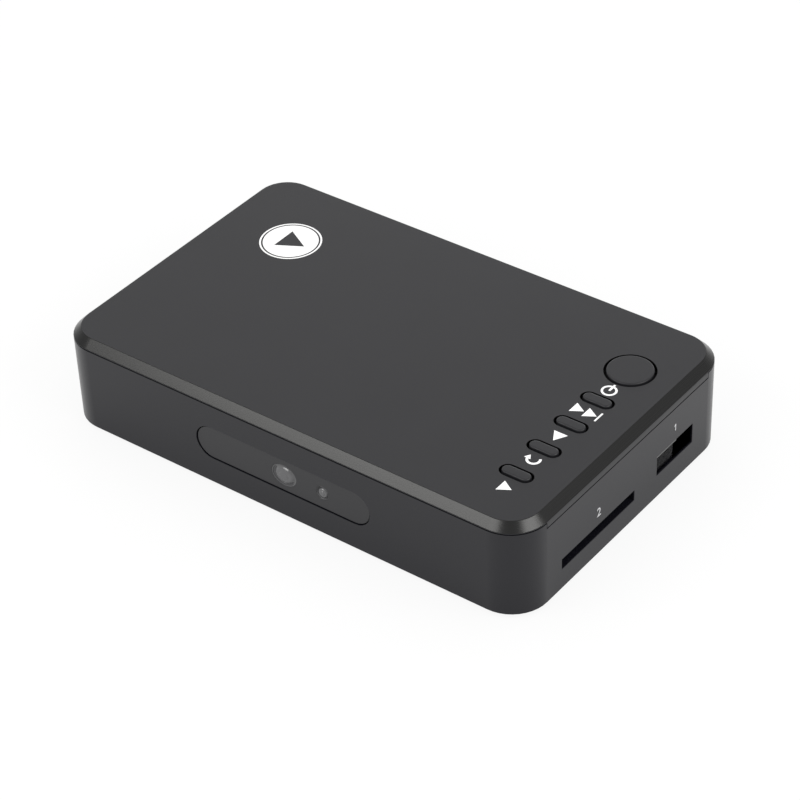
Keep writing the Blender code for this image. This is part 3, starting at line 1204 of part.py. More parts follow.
def build_ribbon():
    """Two connectors, and the ribbon that leaves the upper one level and turns down into the lower."""
    half = CONNECTOR_LENGTH / 2
    upper_top = KEY_BOARD_BOTTOM - SEAT_GAP
    upper_bottom = upper_top - CONNECTOR_HEIGHT
    upper_x = KEY_X - KEY_POST_OFFSET
    low = (upper_x - CONNECTOR_WIDTH / 2, RIBBON_Y - half, upper_bottom)
    high = (upper_x + CONNECTOR_WIDTH / 2, RIBBON_Y + half, upper_top)
    finish(block("key_board_connector", low, high, group=PLAYER), "socket_white")
    lower_top = PART_SEAT + CONNECTOR_HEIGHT
    low = (MAIN_CONNECTOR_X - CONNECTOR_WIDTH / 2, RIBBON_Y - half, PART_SEAT)
    high = (MAIN_CONNECTOR_X + CONNECTOR_WIDTH / 2, RIBBON_Y + half, lower_top)
    finish(block("main_board_connector", low, high, group=PLAYER), "socket_white")
    level = (upper_top + upper_bottom) / 2
    bend = min(RIBBON_BEND, (level - lower_top) / 2)
    path = [(upper_x - CONNECTOR_WIDTH / 2 - SEAT_GAP, level)]
    for step in range(ARC_STEPS + 1):
        turn = pi / 2 * step / ARC_STEPS
        path.append((MAIN_CONNECTOR_X + bend - bend * sin(turn), level - bend + bend * cos(turn)))
    path.append((MAIN_CONNECTOR_X, lower_top + SEAT_GAP))
    shape = bmesh.new()
    line = [shape.verts.new((x, 0, z)) for x, z in path]
    edges = [shape.edges.new(pair) for pair in zip(line, line[1:])]
    grown = bmesh.ops.extrude_edge_only(shape, edges=edges)["geom"]
    moved = [item for item in grown if isinstance(item, bmesh.types.BMVert)]
    bmesh.ops.translate(shape, vec=(0, RIBBON_WIDTH, 0), verts=moved)
    ribbon = add("key_ribbon", shape, (0, RIBBON_Y - RIBBON_WIDTH / 2, 0), PLAYER)
    sheet = ribbon.modifiers.new("thickness", "SOLIDIFY")
    sheet.thickness = RIBBON_THICKNESS
    sheet.offset = 0.0
    sheet.use_even_offset = True
    finish(ribbon, "ribbon_white")


build_top_cover()
build_side_frame()
build_base_cover()
build_feet()
build_screws()
build_keys()
build_switches()
build_key_board()
build_window()
build_receiver()
build_led()
build_main_board()
build_drive_socket()
build_card_socket()
build_video_socket()
build_jacks()
build_processor()
build_memory()
build_crystal()
build_power_parts()
build_ribbon()
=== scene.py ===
"""Looks of the digital media player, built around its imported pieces.

Metres, +Z up, in the frame of the part: the long side runs along X, the front with its window faces
-Y, and the origin lies on the surface that the feet stand on. Finishes are procedural, and symbols,
numerals, lenses and screws are modelled here.
"""

from math import cos, pi, radians, sin

import bmesh
import bpy
from mathutils import Euler, Matrix, Quaternion, Vector


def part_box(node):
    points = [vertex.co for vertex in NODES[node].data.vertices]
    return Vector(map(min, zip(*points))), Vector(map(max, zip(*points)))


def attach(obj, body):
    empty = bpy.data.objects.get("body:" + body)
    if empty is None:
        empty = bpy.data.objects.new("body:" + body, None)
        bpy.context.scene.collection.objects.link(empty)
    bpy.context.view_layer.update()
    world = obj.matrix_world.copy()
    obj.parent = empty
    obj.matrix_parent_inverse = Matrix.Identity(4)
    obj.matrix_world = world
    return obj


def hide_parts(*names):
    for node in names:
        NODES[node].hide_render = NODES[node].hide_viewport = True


MM = 0.001

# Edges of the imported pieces
SEAM = 0.0005 * MM
BREAK_ANGLE = radians(35)
FLAT_ANGLE = radians(0.2)
SMOOTH_ANGLE = radians(40)
EDGE_STEPS = 2
CASE_EDGE = 0.12 * MM
SMALL_EDGE = 0.06 * MM
EDGE_WIDTHS = {
    "top_cover": CASE_EDGE,
    "side_frame": CASE_EDGE,
    "base_cover": CASE_EDGE,
    "sensor_window": 0.08 * MM,
}

# Tones and finishes of the case, and the near-black painted shade and finish inside the drive socket's
# mouth
CASE_TONE = (0.0120, 0.0120, 0.0138)
# Painted shade: the frame is the cover's black plastic with a darker tone, so the upright walls render
# darker than the top
SHADED_WALL_TONE = (0.0050, 0.0050, 0.0075)
CUT_TONE = (0.026, 0.026, 0.0258)
CUT_ROUGHNESS = (0.255, 0.285)
BEVEL_HEIGHT = 1.9 * MM
BEVEL_MARGIN = 0.02 * MM
# Painted shade: the inside of the drive socket's mouth is coloured near black where it falls into shade
MOUTH_PAINTED_SHADE = (0.004, 0.004, 0.004)
MOUTH_ROUGHNESS = 0.7
MOUTH_IOR = 1.15
MOUTH_MARGIN = 0.4 * MM
MOUTH_LIP = 0.1 * MM

# Printing
INK = 0.02 * MM
SECOND_INK = 0.026 * MM
ARC_STEP = radians(7.5)
WALL_DRAFT = 0.05 * MM
POWER_SYMBOL = (0.2 * MM, -8.5 * MM)
POWER_RING = 1.55 * MM
POWER_LINE = 0.5 * MM
POWER_BAR = 2.3 * MM
NEXT_SYMBOL = (0.25 * MM, -4.75 * MM)
NEXT_TRIANGLE = (2.75 * MM, 3.3 * MM)
NEXT_TRIANGLES = (-3.2 * MM, -0.05 * MM)
NEXT_BAR = (3.2 * MM, 3.1 * MM, 0.4 * MM)
DOWN_SYMBOL = (0.0, -5.15 * MM)
DOWN_TRIANGLE = (2.95 * MM, 3.4 * MM)
RETURN_SYMBOL = (0.3 * MM, -4.2 * MM)
RETURN_RING = 1.4 * MM
RETURN_LINE = 0.55 * MM
RETURN_START = radians(35)
RETURN_TURN = radians(-215)
RETURN_HEAD = (1.3 * MM, 1.6 * MM)
RETURN_HEAD_STEP = 0.35 * MM
PLAY_SYMBOL = (0.85 * MM, -4.95 * MM)
PLAY_TRIANGLE = (2.8 * MM, 3.35 * MM)
BADGE = (-41.3 * MM, 17.0 * MM)
BADGE_RING = 7.05 * MM
BADGE_LINE = 0.4 * MM
BADGE_DISC = 6.45 * MM
BADGE_TRIANGLE = (6.2 * MM, 6.8 * MM)
BADGE_SHIFT = 0.9 * MM
NUMERAL_HEIGHT = 2.3 * MM
NUMERAL_WEIGHT = 0.012 * MM
DIGIT_SHARE = 0.73
NUMERALS = (("1", "drive_socket_shell", 3.25 * MM), ("2", "card_socket_cover", 2.6 * MM))
ONE_HEIGHT = 1.75 * MM
ONE_LINE = 0.27 * MM
ONE_FLAG = 0.27
ONE_FLAG_LEVELS = (0.31, 0.15, 0.28)

# Lip over half of the drive opening
LIP_SHEET = 0.12 * MM
LIP_DROP = 0.5 * MM
LIP_LENGTH = 7.8 * MM
LIP_INSET = 0.2 * MM
LIP_GAP = 0.02 * MM
LIP_EDGE = 0.03 * MM
OPENING_SIDE = 0.25 * MM
OPENING_COVER = 0.325 * MM

# Lenses of the front window
LENS_STEPS = 48
LENS_PROUD = 0.24 * MM
LENS_SLOPES = ((0.28, 0.42, -0.15 * MM), (0.56, 0.88, -0.54 * MM), (0.91, 0.96, 0.40 * MM))
LENS_RINGS = 40
LENS_HEAD = 0.9 * MM
LENS_STEM = 0.75

# Case screws
SCREWS = 4
SCREW_STEPS = 36
SHANK_RADIUS = 1.4 * MM
HEAD_HEIGHT = 1.7 * MM
ROUND_STEPS = 4
SCREW_ROUND = 0.45 * MM
CROSS_LENGTH = 2.9 * MM
CROSS_WIDTH = 0.62 * MM
CROSS_DEPTH = 1.1 * MM
CROSS_TAPER = 0.55

# Camera
VIEW_TURN = radians(38.32)
VIEW_RISE = radians(37.27)
VIEW_ROLL = radians(2.358)
VIEW_DISTANCE = 588.07 * MM
VIEW_TARGET = (6.65 * MM, -5.68 * MM, 13.5 * MM)
SENSOR = 36.0
FOCAL_LENGTH = 121.45

# Stage and light: turn from the front towards the right end and rise, distance, width and height,
# brightness of the lamp's face, colour
FLOOR_SIZE = 6.0
FLOOR_DROP = 0.02 * MM
FLOOR_TONE = 0.88
FLOOR_WHITE = 0.92
FLOOR_GLOW = 0.5
# Reach of the painted contact shade on the floor
PAINTED_SHADE_REACH = 60 * MM
SKY_LEVEL = 0.71
LAMPS = {
    "key": ((-23.5, 41.5), 0.75, (0.52, 0.26), 6.9, (1.0, 0.995, 0.985)),
    "side": ((94, 39.5), 0.80, (0.57, 0.25), 8.3, (1.0, 0.995, 0.985)),
    "back": ((205, 10), 0.90, (0.60, 0.24), 0.9, (0.95, 0.97, 1.0)),
}

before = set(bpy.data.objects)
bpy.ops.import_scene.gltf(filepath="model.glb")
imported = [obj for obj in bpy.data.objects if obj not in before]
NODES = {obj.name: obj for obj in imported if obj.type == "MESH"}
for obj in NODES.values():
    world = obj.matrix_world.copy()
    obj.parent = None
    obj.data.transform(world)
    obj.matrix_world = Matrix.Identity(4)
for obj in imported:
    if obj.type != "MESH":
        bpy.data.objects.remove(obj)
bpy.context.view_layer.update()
COVER_LOW, COVER_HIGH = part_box("top_cover")


def new_object(name, data, body="root"):
    piece = bpy.data.objects.new(name, data)
    bpy.context.scene.collection.objects.link(piece)
    if body:
        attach(piece, body)
    return piece


# Materials

def new_material(name):
    made = bpy.data.materials.new(name)
    made.use_nodes = True
    return made, made.node_tree, made.node_tree.nodes["Principled BSDF"]


def add_node(tree, kind, **inputs):
    """A shader node with the values of its inputs, or with the sockets that feed them."""
    node = tree.nodes.new(kind)
    for key, value in inputs.items():
        socket = node.inputs[key.replace("_", " ")]
        if isinstance(value, bpy.types.NodeSocket):
            tree.links.new(value, socket)
        else:
            socket.default_value = value
    return node


def place(tree, scale):
    """The point on the object, in metres of the part's frame, stretched by a scale on each axis."""
    where = tree.nodes.new("ShaderNodeTexCoord").outputs["Object"]
    return add_node(tree, "ShaderNodeMapping", Vector=where, Scale=scale).outputs["Vector"]


def noise(tree, size, detail=3.0, stretch=(1, 1, 1)):
    """Noise with features of a size in metres, drawn out along an axis where its stretch is below 1."""
    at = place(tree, Vector(stretch) / size)
    return add_node(tree, "ShaderNodeTexNoise", Vector=at, Scale=1.0, Detail=detail).outputs["Fac"]


def spread(tree, value, low, high, start=0.3, end=0.7):
    node = add_node(tree, "ShaderNodeMapRange", Value=value)
    for key, number in (("From Min", start), ("From Max", end), ("To Min", low), ("To Max", high)):
        node.inputs[key].default_value = number
    return node.outputs["Result"]


def tint(tree, value, low, high):
    """A colour between two, by a value from 0 to 1."""
    mixed = tree.nodes.new("ShaderNodeMix")
    mixed.data_type = "RGBA"
    tree.links.new(value, mixed.inputs[0])
    mixed.inputs[6].default_value = (*low, 1)
    mixed.inputs[7].default_value = (*high, 1)
    return mixed.outputs[2]


def shade(colour, share):
    return tuple(channel * share for channel in colour)


def bump(tree, height, distance, below=None):
    node = add_node(tree, "ShaderNodeBump", Height=height, Distance=distance, Strength=1.0)
    if below:
        tree.links.new(below, node.inputs["Normal"])
    return node.outputs["Normal"]


def moulded(name, colour, roughness, grain=0.22 * MM, depth=0.0025 * MM, ior=1.38, metallic=0.0):
    """Moulded or plated surface: fine grain, with cloudy changes of tone and gloss."""
    made, tree, shader = new_material(name)
    cloud = noise(tree, 14 * MM, 2)
    fine = noise(tree, grain, 4)
    colours = tint(tree, cloud, shade(colour, 0.9), shade(colour, 1.1))
    tree.links.new(colours, shader.inputs["Base Color"])
    tree.links.new(spread(tree, fine, roughness * 0.93, roughness * 1.07), shader.inputs["Roughness"])
    tree.links.new(bump(tree, fine, depth), shader.inputs["Normal"])
    shader.inputs["IOR"].default_value = ior
    shader.inputs["Metallic"].default_value = metallic
    return made


def brushed(name, colour, roughness, line=0.05 * MM, run=12 * MM, depth=0.001 * MM, metallic=1.0):
    """Metal with fine lines that run along X."""
    made, tree, shader = new_material(name)
    lines = noise(tree, line, 3, (line / run, 1, 1))
    tree.links.new(tint(tree, lines, shade(colour, 0.8), shade(colour, 1.15)), shader.inputs["Base Color"])
    tree.links.new(spread(tree, lines, roughness * 0.8, roughness * 1.2), shader.inputs["Roughness"])
    tree.links.new(bump(tree, lines, depth), shader.inputs["Normal"])
    shader.inputs["Metallic"].default_value = metallic
    return made


def within(tree, **ranges):
    """1 where the point's coordinates lie in their ranges, such as Z=(low, high), and 0 elsewhere."""
    where = tree.nodes.new("ShaderNodeTexCoord").outputs["Object"]
    place_of = add_node(tree, "ShaderNodeSeparateXYZ", Vector=where).outputs
    inside = None
    for axis, levels in ranges.items():
        for level, kind in zip(levels, ("GREATER_THAN", "LESS_THAN")):
            step = tree.nodes.new("ShaderNodeMath")
            step.operation = kind
            tree.links.new(place_of[axis], step.inputs[0])
            step.inputs[1].default_value = level
            if inside:
                both = tree.nodes.new("ShaderNodeMath")
                both.operation = "MULTIPLY"
                tree.links.new(inside, both.inputs[0])
                tree.links.new(step.outputs[0], both.inputs[1])
                inside = both.outputs[0]
            else:
                inside = step.outputs[0]
    return inside


def refinished(made, inside, **values):
    """Gives a finish another colour, roughness or metallic value where a mask is 1."""
    tree, shader = made.node_tree, made.node_tree.nodes["Principled BSDF"]
    for key, value in values.items():
        socket = shader.inputs[key.replace("_", " ")]
        mixed = tree.nodes.new("ShaderNodeMix")
        mixed.data_type = "RGBA" if key == "Base_Color" else "FLOAT"
        first, second, result = (6, 7, 2) if key == "Base_Color" else (2, 3, 0)
        if socket.links:
            tree.links.new(socket.links[0].from_socket, mixed.inputs[first])
        else:
            mixed.inputs[first].default_value = socket.default_value
        if isinstance(value, bpy.types.NodeSocket):
            tree.links.new(value, mixed.inputs[second])
        else:
            mixed.inputs[second].default_value = value
        tree.links.new(inside, mixed.inputs[0])
        tree.links.new(mixed.outputs[result], socket)
    return made


def cover_finish(line=0.03 * MM, run=14 * MM):
    """Moulded plastic with a bright-cut bevel, whose fine lines run along the edge."""
    made = moulded("cover_plastic", CASE_TONE, 0.36)
    tree = made.node_tree
    lines = noise(tree, line, 2, (line / run, line / run, 1))
    bevel = within(tree, Z=(COVER_HIGH.z - BEVEL_HEIGHT, COVER_HIGH.z - BEVEL_MARGIN))
    colours = tint(tree, lines, shade(CUT_TONE, 0.96), shade(CUT_TONE, 1.04))
    gloss = spread(tree, lines, *CUT_ROUGHNESS)
    return refinished(made, bevel, Base_Color=colours, Roughness=gloss, Metallic=1.0)


def shell_finish():
    """Socket steel, with near-black painted shade inside the mouth below the lip, where the opening's
    inside falls into shade.
    """
    made = brushed("drive_shell_steel_painted_shade", (0.55, 0.55, 0.56), 0.30)
    low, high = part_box("drive_socket_tongue")
    # Mask of the mouth's painted shade, below the lip
    mouth = within(made.node_tree, Y=(low.y - MOUTH_MARGIN, high.y + MOUTH_MARGIN),
                   Z=(low.z - MOUTH_MARGIN, high.z - MOUTH_LIP))
    made.node_tree.nodes["Principled BSDF"].inputs["IOR"].default_value = MOUTH_IOR
    return refinished(made, mouth, Base_Color=(*MOUTH_PAINTED_SHADE, 1), Roughness=MOUTH_ROUGHNESS, Metallic=0.0)


MATERIALS = {
    "case_black": moulded("case_plastic", CASE_TONE, 0.36),
    "key_black": moulded("key_plastic", CASE_TONE, 0.34),
    "window_black": moulded("window_plastic", CASE_TONE, 0.30, depth=0.001 * MM, ior=1.44),
    "lens_grey": moulded("lens_plastic", (0.072, 0.072, 0.075), 0.18, 0.5 * MM, 0.0003 * MM, 1.60),
    "rubber_black": moulded("foot_rubber", (0.018, 0.018, 0.018), 0.80, 0.3 * MM, 0.01 * MM),
    "board_green": moulded("solder_mask", (0.020, 0.130, 0.055), 0.40, 0.4 * MM, 0.002 * MM, 1.5),
    "sheet_steel": brushed("socket_steel", (0.55, 0.55, 0.56), 0.30),
    "screw_steel": brushed("screw_steel", (0.30, 0.30, 0.31), 0.34),
    "socket_black": moulded("socket_plastic", (0.018, 0.018, 0.018), 0.48),
    "socket_white": moulded("socket_plastic_white", (0.72, 0.71, 0.67), 0.48),
    "chip_black": moulded("chip_resin", (0.025, 0.025, 0.027), 0.55),
    "fin_aluminium": brushed("fin_aluminium", (0.55, 0.56, 0.58), 0.32),
    "led_red": moulded("led_resin", (0.50, 0.04, 0.03), 0.22, ior=1.5),
    "ribbon_white": moulded("ribbon_film", (0.70, 0.70, 0.68), 0.45),
}
INK_WHITE = moulded("printed_ink", (0.86, 0.86, 0.86), 0.5, 0.1 * MM, 0.001 * MM)
INK_GREY = moulded("label_ink", (0.50, 0.50, 0.51), 0.5, 0.1 * MM, 0.001 * MM)
LIP_STEEL = brushed("lip_steel", (0.18, 0.18, 0.18), 0.30)
NODE_FINISHES = {
    "top_cover": cover_finish(),
    # The frame's darker tone is painted shade on the walls, over the same black plastic as the cover
    "side_frame": moulded("frame_plastic_painted_shade", SHADED_WALL_TONE, 0.25, ior=1.40),
    # The tongue inside the mouth takes the same near-black painted shade tone
    "drive_socket_tongue": moulded("tongue_plastic_painted_shade", MOUTH_PAINTED_SHADE, MOUTH_ROUGHNESS, ior=MOUTH_IOR),
    "drive_socket_shell": shell_finish(),
}


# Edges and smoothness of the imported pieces

def new_group(name):
    tree = bpy.data.node_groups.new(name, "GeometryNodeTree")
    tree.interface.new_socket("Geometry", in_out="INPUT", socket_type="NodeSocketGeometry")
    tree.interface.new_socket("Geometry", in_out="OUTPUT", socket_type="NodeSocketGeometry")
    start, end = tree.nodes.new("NodeGroupInput"), tree.nodes.new("NodeGroupOutput")
    return tree, start.outputs["Geometry"], end.inputs["Geometry"]


def joining_group():
    """Joins the points that the import split, and drops the normals that came with them."""
    tree, start, end = new_group("join_seams")
    merged = add_node(tree, "GeometryNodeMergeByDistance", Geometry=start, Distance=SEAM)
    clean = add_node(tree, "GeometryNodeRemoveAttribute", Geometry=merged.outputs["Geometry"],
                     Name="custom_normal")
    tree.links.new(clean.outputs["Geometry"], end)
    return tree


def smoothing_group():
    """Smooth faces, with the edges above an angle kept sharp."""
    tree, start, end = new_group("smooth_by_angle")
    faces = add_node(tree, "GeometryNodeSetShadeSmooth", Geometry=start, Shade_Smooth=True)
    angle = tree.nodes.new("GeometryNodeInputMeshEdgeAngle").outputs["Unsigned Angle"]
    soft = tree.nodes.new("FunctionNodeCompare")
    soft.data_type, soft.operation = "FLOAT", "LESS_THAN"
    tree.links.new(angle, soft.inputs["A"])
    soft.inputs["B"].default_value = SMOOTH_ANGLE
    edges = tree.nodes.new("GeometryNodeSetShadeSmooth")
    edges.domain = "EDGE"
    tree.links.new(faces.outputs["Geometry"], edges.inputs["Geometry"])
    tree.links.new(soft.outputs["Result"], edges.inputs["Shade Smooth"])
    tree.links.new(edges.outputs["Geometry"], end)
    return tree


JOINING, SMOOTHING = joining_group(), smoothing_group()


def smooth(piece):
    piece.modifiers.new("smooth", "NODES").node_group = SMOOTHING
    even = piece.modifiers.new("even_normals", "WEIGHTED_NORMAL")
    even.keep_sharp = True


def dress_node(name, piece):
    """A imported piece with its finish, small rounds on its edges, and smooth curves."""
    slot = piece.data.materials[0].name.split(".")[0]
    piece.data.materials[0] = NODE_FINISHES.get(name) or MATERIALS[slot]
    piece.modifiers.new("join_seams", "NODES").node_group = JOINING
    flat = piece.modifiers.new("flat_faces", "DECIMATE")
    flat.decimate_type = "DISSOLVE"
    flat.angle_limit = FLAT_ANGLE
    edge = piece.modifiers.new("edge_rounds", "BEVEL")
    edge.width = EDGE_WIDTHS.get(name, SMALL_EDGE)
    edge.segments = EDGE_STEPS
    edge.limit_method = "ANGLE"
    edge.angle_limit = BREAK_ANGLE
    edge.use_clamp_overlap = False
    smooth(piece)


# Printing

def arc(radius, start, turn, middle=(0, 0)):
    """Points on an arc from an angle, over a turn."""
    steps = max(2, round(abs(turn) / ARC_STEP))
    angles = [start + turn * step / steps for step in range(steps + 1)]
    return [(middle[0] + radius * cos(angle), middle[1] + radius * sin(angle)) for angle in angles]


def circle(radius, middle=(0, 0)):
    return arc(radius, 0, 2 * pi, middle)[:-1]


def band(radius, line, start, turn):
    """The outline of a line along an arc."""
    return arc(radius + line / 2, start, turn) + arc(radius - line / 2, start + turn, -turn)


def triangle(size, facing=0.0, middle=(0, 0)):
    """A triangle of a length and a width, about its middle, with its point towards an angle."""
    length, width = size
    corners = [(length / 2, 0), (-length / 2, width / 2), (-length / 2, -width / 2)]
    across, along = cos(facing), sin(facing)
    return [(middle[0] + x * across - y * along, middle[1] + x * along + y * across) for x, y in corners]


def bar(middle, length, width):
    corners = [(-length / 2, -width / 2), (length / 2, -width / 2), (length / 2, width / 2),
               (-length / 2, width / 2)]
    return [(middle[0] + x, middle[1] + y) for x, y in corners]


def film(name, curve, matrix, thickness=INK, ink=INK_WHITE):
    """A film of ink from a flat curve, half sunk in the surface that it is printed on."""
    curve.dimensions = "2D"
    curve.fill_mode = "BOTH"
    curve.extrude = thickness
    drawn = new_object(name + "_outline", curve, None)
    graph = bpy.context.evaluated_depsgraph_get()
    data = bpy.data.meshes.new_from_object(drawn.evaluated_get(graph))
    bpy.data.objects.remove(drawn, do_unlink=True)
    data.transform(matrix)
    data.name = name
    shape = bmesh.new()
    shape.from_mesh(data)
    bmesh.ops.remove_doubles(shape, verts=shape.verts, dist=SEAM)
    bmesh.ops.recalc_face_normals(shape, faces=shape.faces)
    shape.to_mesh(data)
    shape.free()
    data.materials.clear()
    data.materials.append(ink)
    piece = new_object(name, data)
    return piece


def printed(name, loops, matrix, thickness=INK, ink=INK_WHITE):
    """A film of ink inside closed outlines, where an outline inside another is a hole."""
    curve = bpy.data.curves.new(name, "CURVE")
    for loop in loops:
        spline = curve.splines.new("POLY")
        spline.points.add(len(loop) - 1)
        for point, (x, y) in zip(spline.points, loop):
            point.co = (x, y, 0, 1)
        spline.use_cyclic_u = True
    return film(name, curve, matrix, thickness, ink)


def on_top(x, y):
    return Matrix.Translation((x, y, COVER_HIGH.z))


def by_key(node, offset):
    """The place on the cover at an offset from a key's middle."""
    low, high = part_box(node)
    middle = (low + high) / 2
    return on_top(middle.x + offset[0], middle.y + offset[1])


def print_symbols():
    at = by_key("power_button", POWER_SYMBOL)
    rings = [circle(POWER_RING + side * POWER_LINE / 2) for side in (1, -1)]
    printed("power_symbol_ring", rings, at)
    printed("power_symbol_bar", [bar((0, POWER_BAR / 2), POWER_LINE, POWER_BAR)], at, SECOND_INK)
    triangles = [triangle(NEXT_TRIANGLE, 0, (x + NEXT_TRIANGLE[0] / 2, 0)) for x in NEXT_TRIANGLES]
    line = bar((NEXT_BAR[0], 0), NEXT_BAR[2], NEXT_BAR[1])
    printed("next_symbol", [*triangles, line], by_key("next_button", NEXT_SYMBOL))
    printed("down_symbol", [triangle(DOWN_TRIANGLE, -pi / 2)], by_key("down_button", DOWN_SYMBOL))
    at = by_key("return_button", RETURN_SYMBOL)
    printed("return_symbol_arc", [band(RETURN_RING, RETURN_LINE, RETURN_START, RETURN_TURN)], at)
    tip = RETURN_START + RETURN_TURN
    head = (RETURN_RING * cos(tip) + RETURN_HEAD_STEP * sin(tip),
            RETURN_RING * sin(tip) - RETURN_HEAD_STEP * cos(tip))
    printed("return_symbol_head", [triangle(RETURN_HEAD, tip - pi / 2, head)], at, SECOND_INK)
    printed("play_symbol", [triangle(PLAY_TRIANGLE)], by_key("play_button", PLAY_SYMBOL))
    at = on_top(*BADGE)
    printed("badge_ring", [circle(BADGE_RING + BADGE_LINE / 2), circle(BADGE_RING - BADGE_LINE / 2)], at)
    printed("badge_disc", [circle(BADGE_DISC), triangle(BADGE_TRIANGLE, 0, (BADGE_SHIFT, 0))], at)


def one_outline(height, line):
    """A 1: a bar with a short flag at its top."""
    flag = -ONE_FLAG * height
    flag_top, flag_bottom, flag_join = (height * level for level in ONE_FLAG_LEVELS)
    return [(-line / 2, -height / 2), (line / 2, -height / 2), (line / 2, height / 2),
            (-line / 4, height / 2), (flag, flag_top), (flag, flag_bottom), (-line / 2, flag_join)]


def print_numerals():
    """A number above each opening in the end wall, on the wall's slight slope."""
    low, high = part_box("side_frame")
    tilt = WALL_DRAFT / (high.z - low.z)
    turn = Matrix.Rotation(tilt, 4, "Y") @ Euler((pi / 2, 0, pi / 2)).to_matrix().to_4x4()
    for number, socket, rise in NUMERALS:
        socket_low, socket_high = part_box(socket)
        middle = (socket_low + socket_high) / 2
        z = socket_high.z + rise
        x = high.x - tilt * (high.z - z)
        at = Matrix.Translation((x, middle.y, z)) @ turn
        if number == "1":
            printed("numeral_1", [one_outline(ONE_HEIGHT, ONE_LINE)], at, ink=INK_GREY)
            continue
        digit = bpy.data.curves.new(f"numeral_{number}", "FONT")
        digit.body = number
        digit.size = NUMERAL_HEIGHT / DIGIT_SHARE
        digit.offset = NUMERAL_WEIGHT
        digit.align_x, digit.align_y = "CENTER", "CENTER"
        film(f"numeral_{number}", digit, at, ink=INK_GREY)


# Turned pieces

def turned(name, profile, steps, matrix, surface):
    """A closed turned solid: its profile (radius, height) starts and ends on the axis."""
    shape = bmesh.new()
    rings = []
    for radius, height in profile:
        if radius == 0.0:
            rings.append([shape.verts.new((0, 0, height))])
        else:
            rings.append([shape.verts.new((radius * cos(angle), radius * sin(angle), height))
                          for angle in (2 * pi * step / steps for step in range(steps))])
    for first, second in zip(rings, rings[1:]):
        for step in range(steps):
            after = (step + 1) % steps
            corners = [first[step % len(first)], first[after % len(first)], second[after % len(second)],
                       second[step % len(second)]]
            shape.faces.new(list(dict.fromkeys(corners)))
    bmesh.ops.recalc_face_normals(shape, faces=shape.faces)
    data = bpy.data.meshes.new(name)
    shape.to_mesh(data)
    shape.free()
    data.transform(matrix)
    data.materials.append(surface)
    piece = new_object(name, data)
    return piece


def crown_height(share):
    """The height of a lens over the window at a share of its radius."""
    height = LENS_PROUD
    for start, end, change in LENS_SLOPES:
        part = min(max((share - start) / (end - start), 0.0), 1.0)
        height += change * part * part * (3 - 2 * part)
    return height


def build_lenses():
    """Lenses with a low crown and a groove inside the rim, on stems through the wall."""
    for node in ("receiver_lens", "indicator_lens"):
        low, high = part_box(node)
        radius = (high.x - low.x) / 2
        crown = [(radius * step / LENS_RINGS, crown_height(step / LENS_RINGS))
                 for step in range(LENS_RINGS + 1)]
        length = high.y - low.y
        stem = radius * LENS_STEM
        profile = [*crown, (radius, -LENS_HEAD), (stem, -LENS_HEAD), (stem, -length), (0.0, -length)]
        middle = Vector(((low.x + high.x) / 2, low.y, (low.z + high.z) / 2))
        oval = Matrix.Diagonal((1, (high.z - low.z) / (high.x - low.x), 1, 1))
        facing = Matrix.Translation(middle) @ Matrix.Rotation(pi / 2, 4, "X") @ oval
        lens = turned(f"{node}_crowned", profile, LENS_STEPS, facing, MATERIALS["lens_grey"])
        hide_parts(node)
        smooth(lens)


def build_drive_lip():
    """A folded strip of the socket's shell that shows under the top edge of the drive opening."""
    low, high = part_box("drive_socket_shell")
    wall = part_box("side_frame")[1].x - WALL_DRAFT / 2 - LIP_INSET
    top = high.z - OPENING_COVER - LIP_GAP
    outline = [(high.x, top), (wall, top), (wall, top - LIP_DROP), (wall - LIP_SHEET, top - LIP_DROP),
               (wall - LIP_SHEET, top - LIP_SHEET), (high.x, top - LIP_SHEET)]
    start = low.y - OPENING_SIDE + LIP_GAP
    shape = bmesh.new()
    face = shape.faces.new([shape.verts.new((x, start, z)) for x, z in outline])
    drawn = bmesh.ops.extrude_face_region(shape, geom=[face])["geom"]
    moved = [item for item in drawn if isinstance(item, bmesh.types.BMVert)]
    bmesh.ops.translate(shape, vec=(0, LIP_LENGTH, 0), verts=moved)
    bmesh.ops.recalc_face_normals(shape, faces=shape.faces)
    data = bpy.data.meshes.new("drive_opening_lip")
    shape.to_mesh(data)
    shape.free()
    data.materials.append(LIP_STEEL)
    lip = new_object("drive_opening_lip", data)
    edge = lip.modifiers.new("edge_rounds", "BEVEL")
    edge.width = LIP_EDGE
    edge.segments = EDGE_STEPS
    smooth(lip)


def cross_cutter(name):
    """A closed cross that narrows towards the bottom of the recess."""
    reach, arm = CROSS_LENGTH / 2, CROSS_WIDTH / 2
    quarter = [(reach, -arm), (reach, arm), (arm, arm)]
    outline = quarter[:]
    for _ in range(3):
        quarter = [(-y, x) for x, y in quarter]
        outline += quarter
    shape = bmesh.new()
    levels = [[shape.verts.new((x * share, y * share, height)) for x, y in outline]
              for height, share in ((-CROSS_DEPTH, 1.0), (CROSS_DEPTH, CROSS_TAPER))]
    for level in levels:
        shape.faces.new(level)
    for step in range(len(outline)):
        after = (step + 1) % len(outline)
        shape.faces.new([levels[0][step], levels[0][after], levels[1][after], levels[1][step]])
    bmesh.ops.recalc_face_normals(shape, faces=shape.faces)
    data = bpy.data.meshes.new(name)
    shape.to_mesh(data)
    shape.free()
    return new_object(name, data, None)


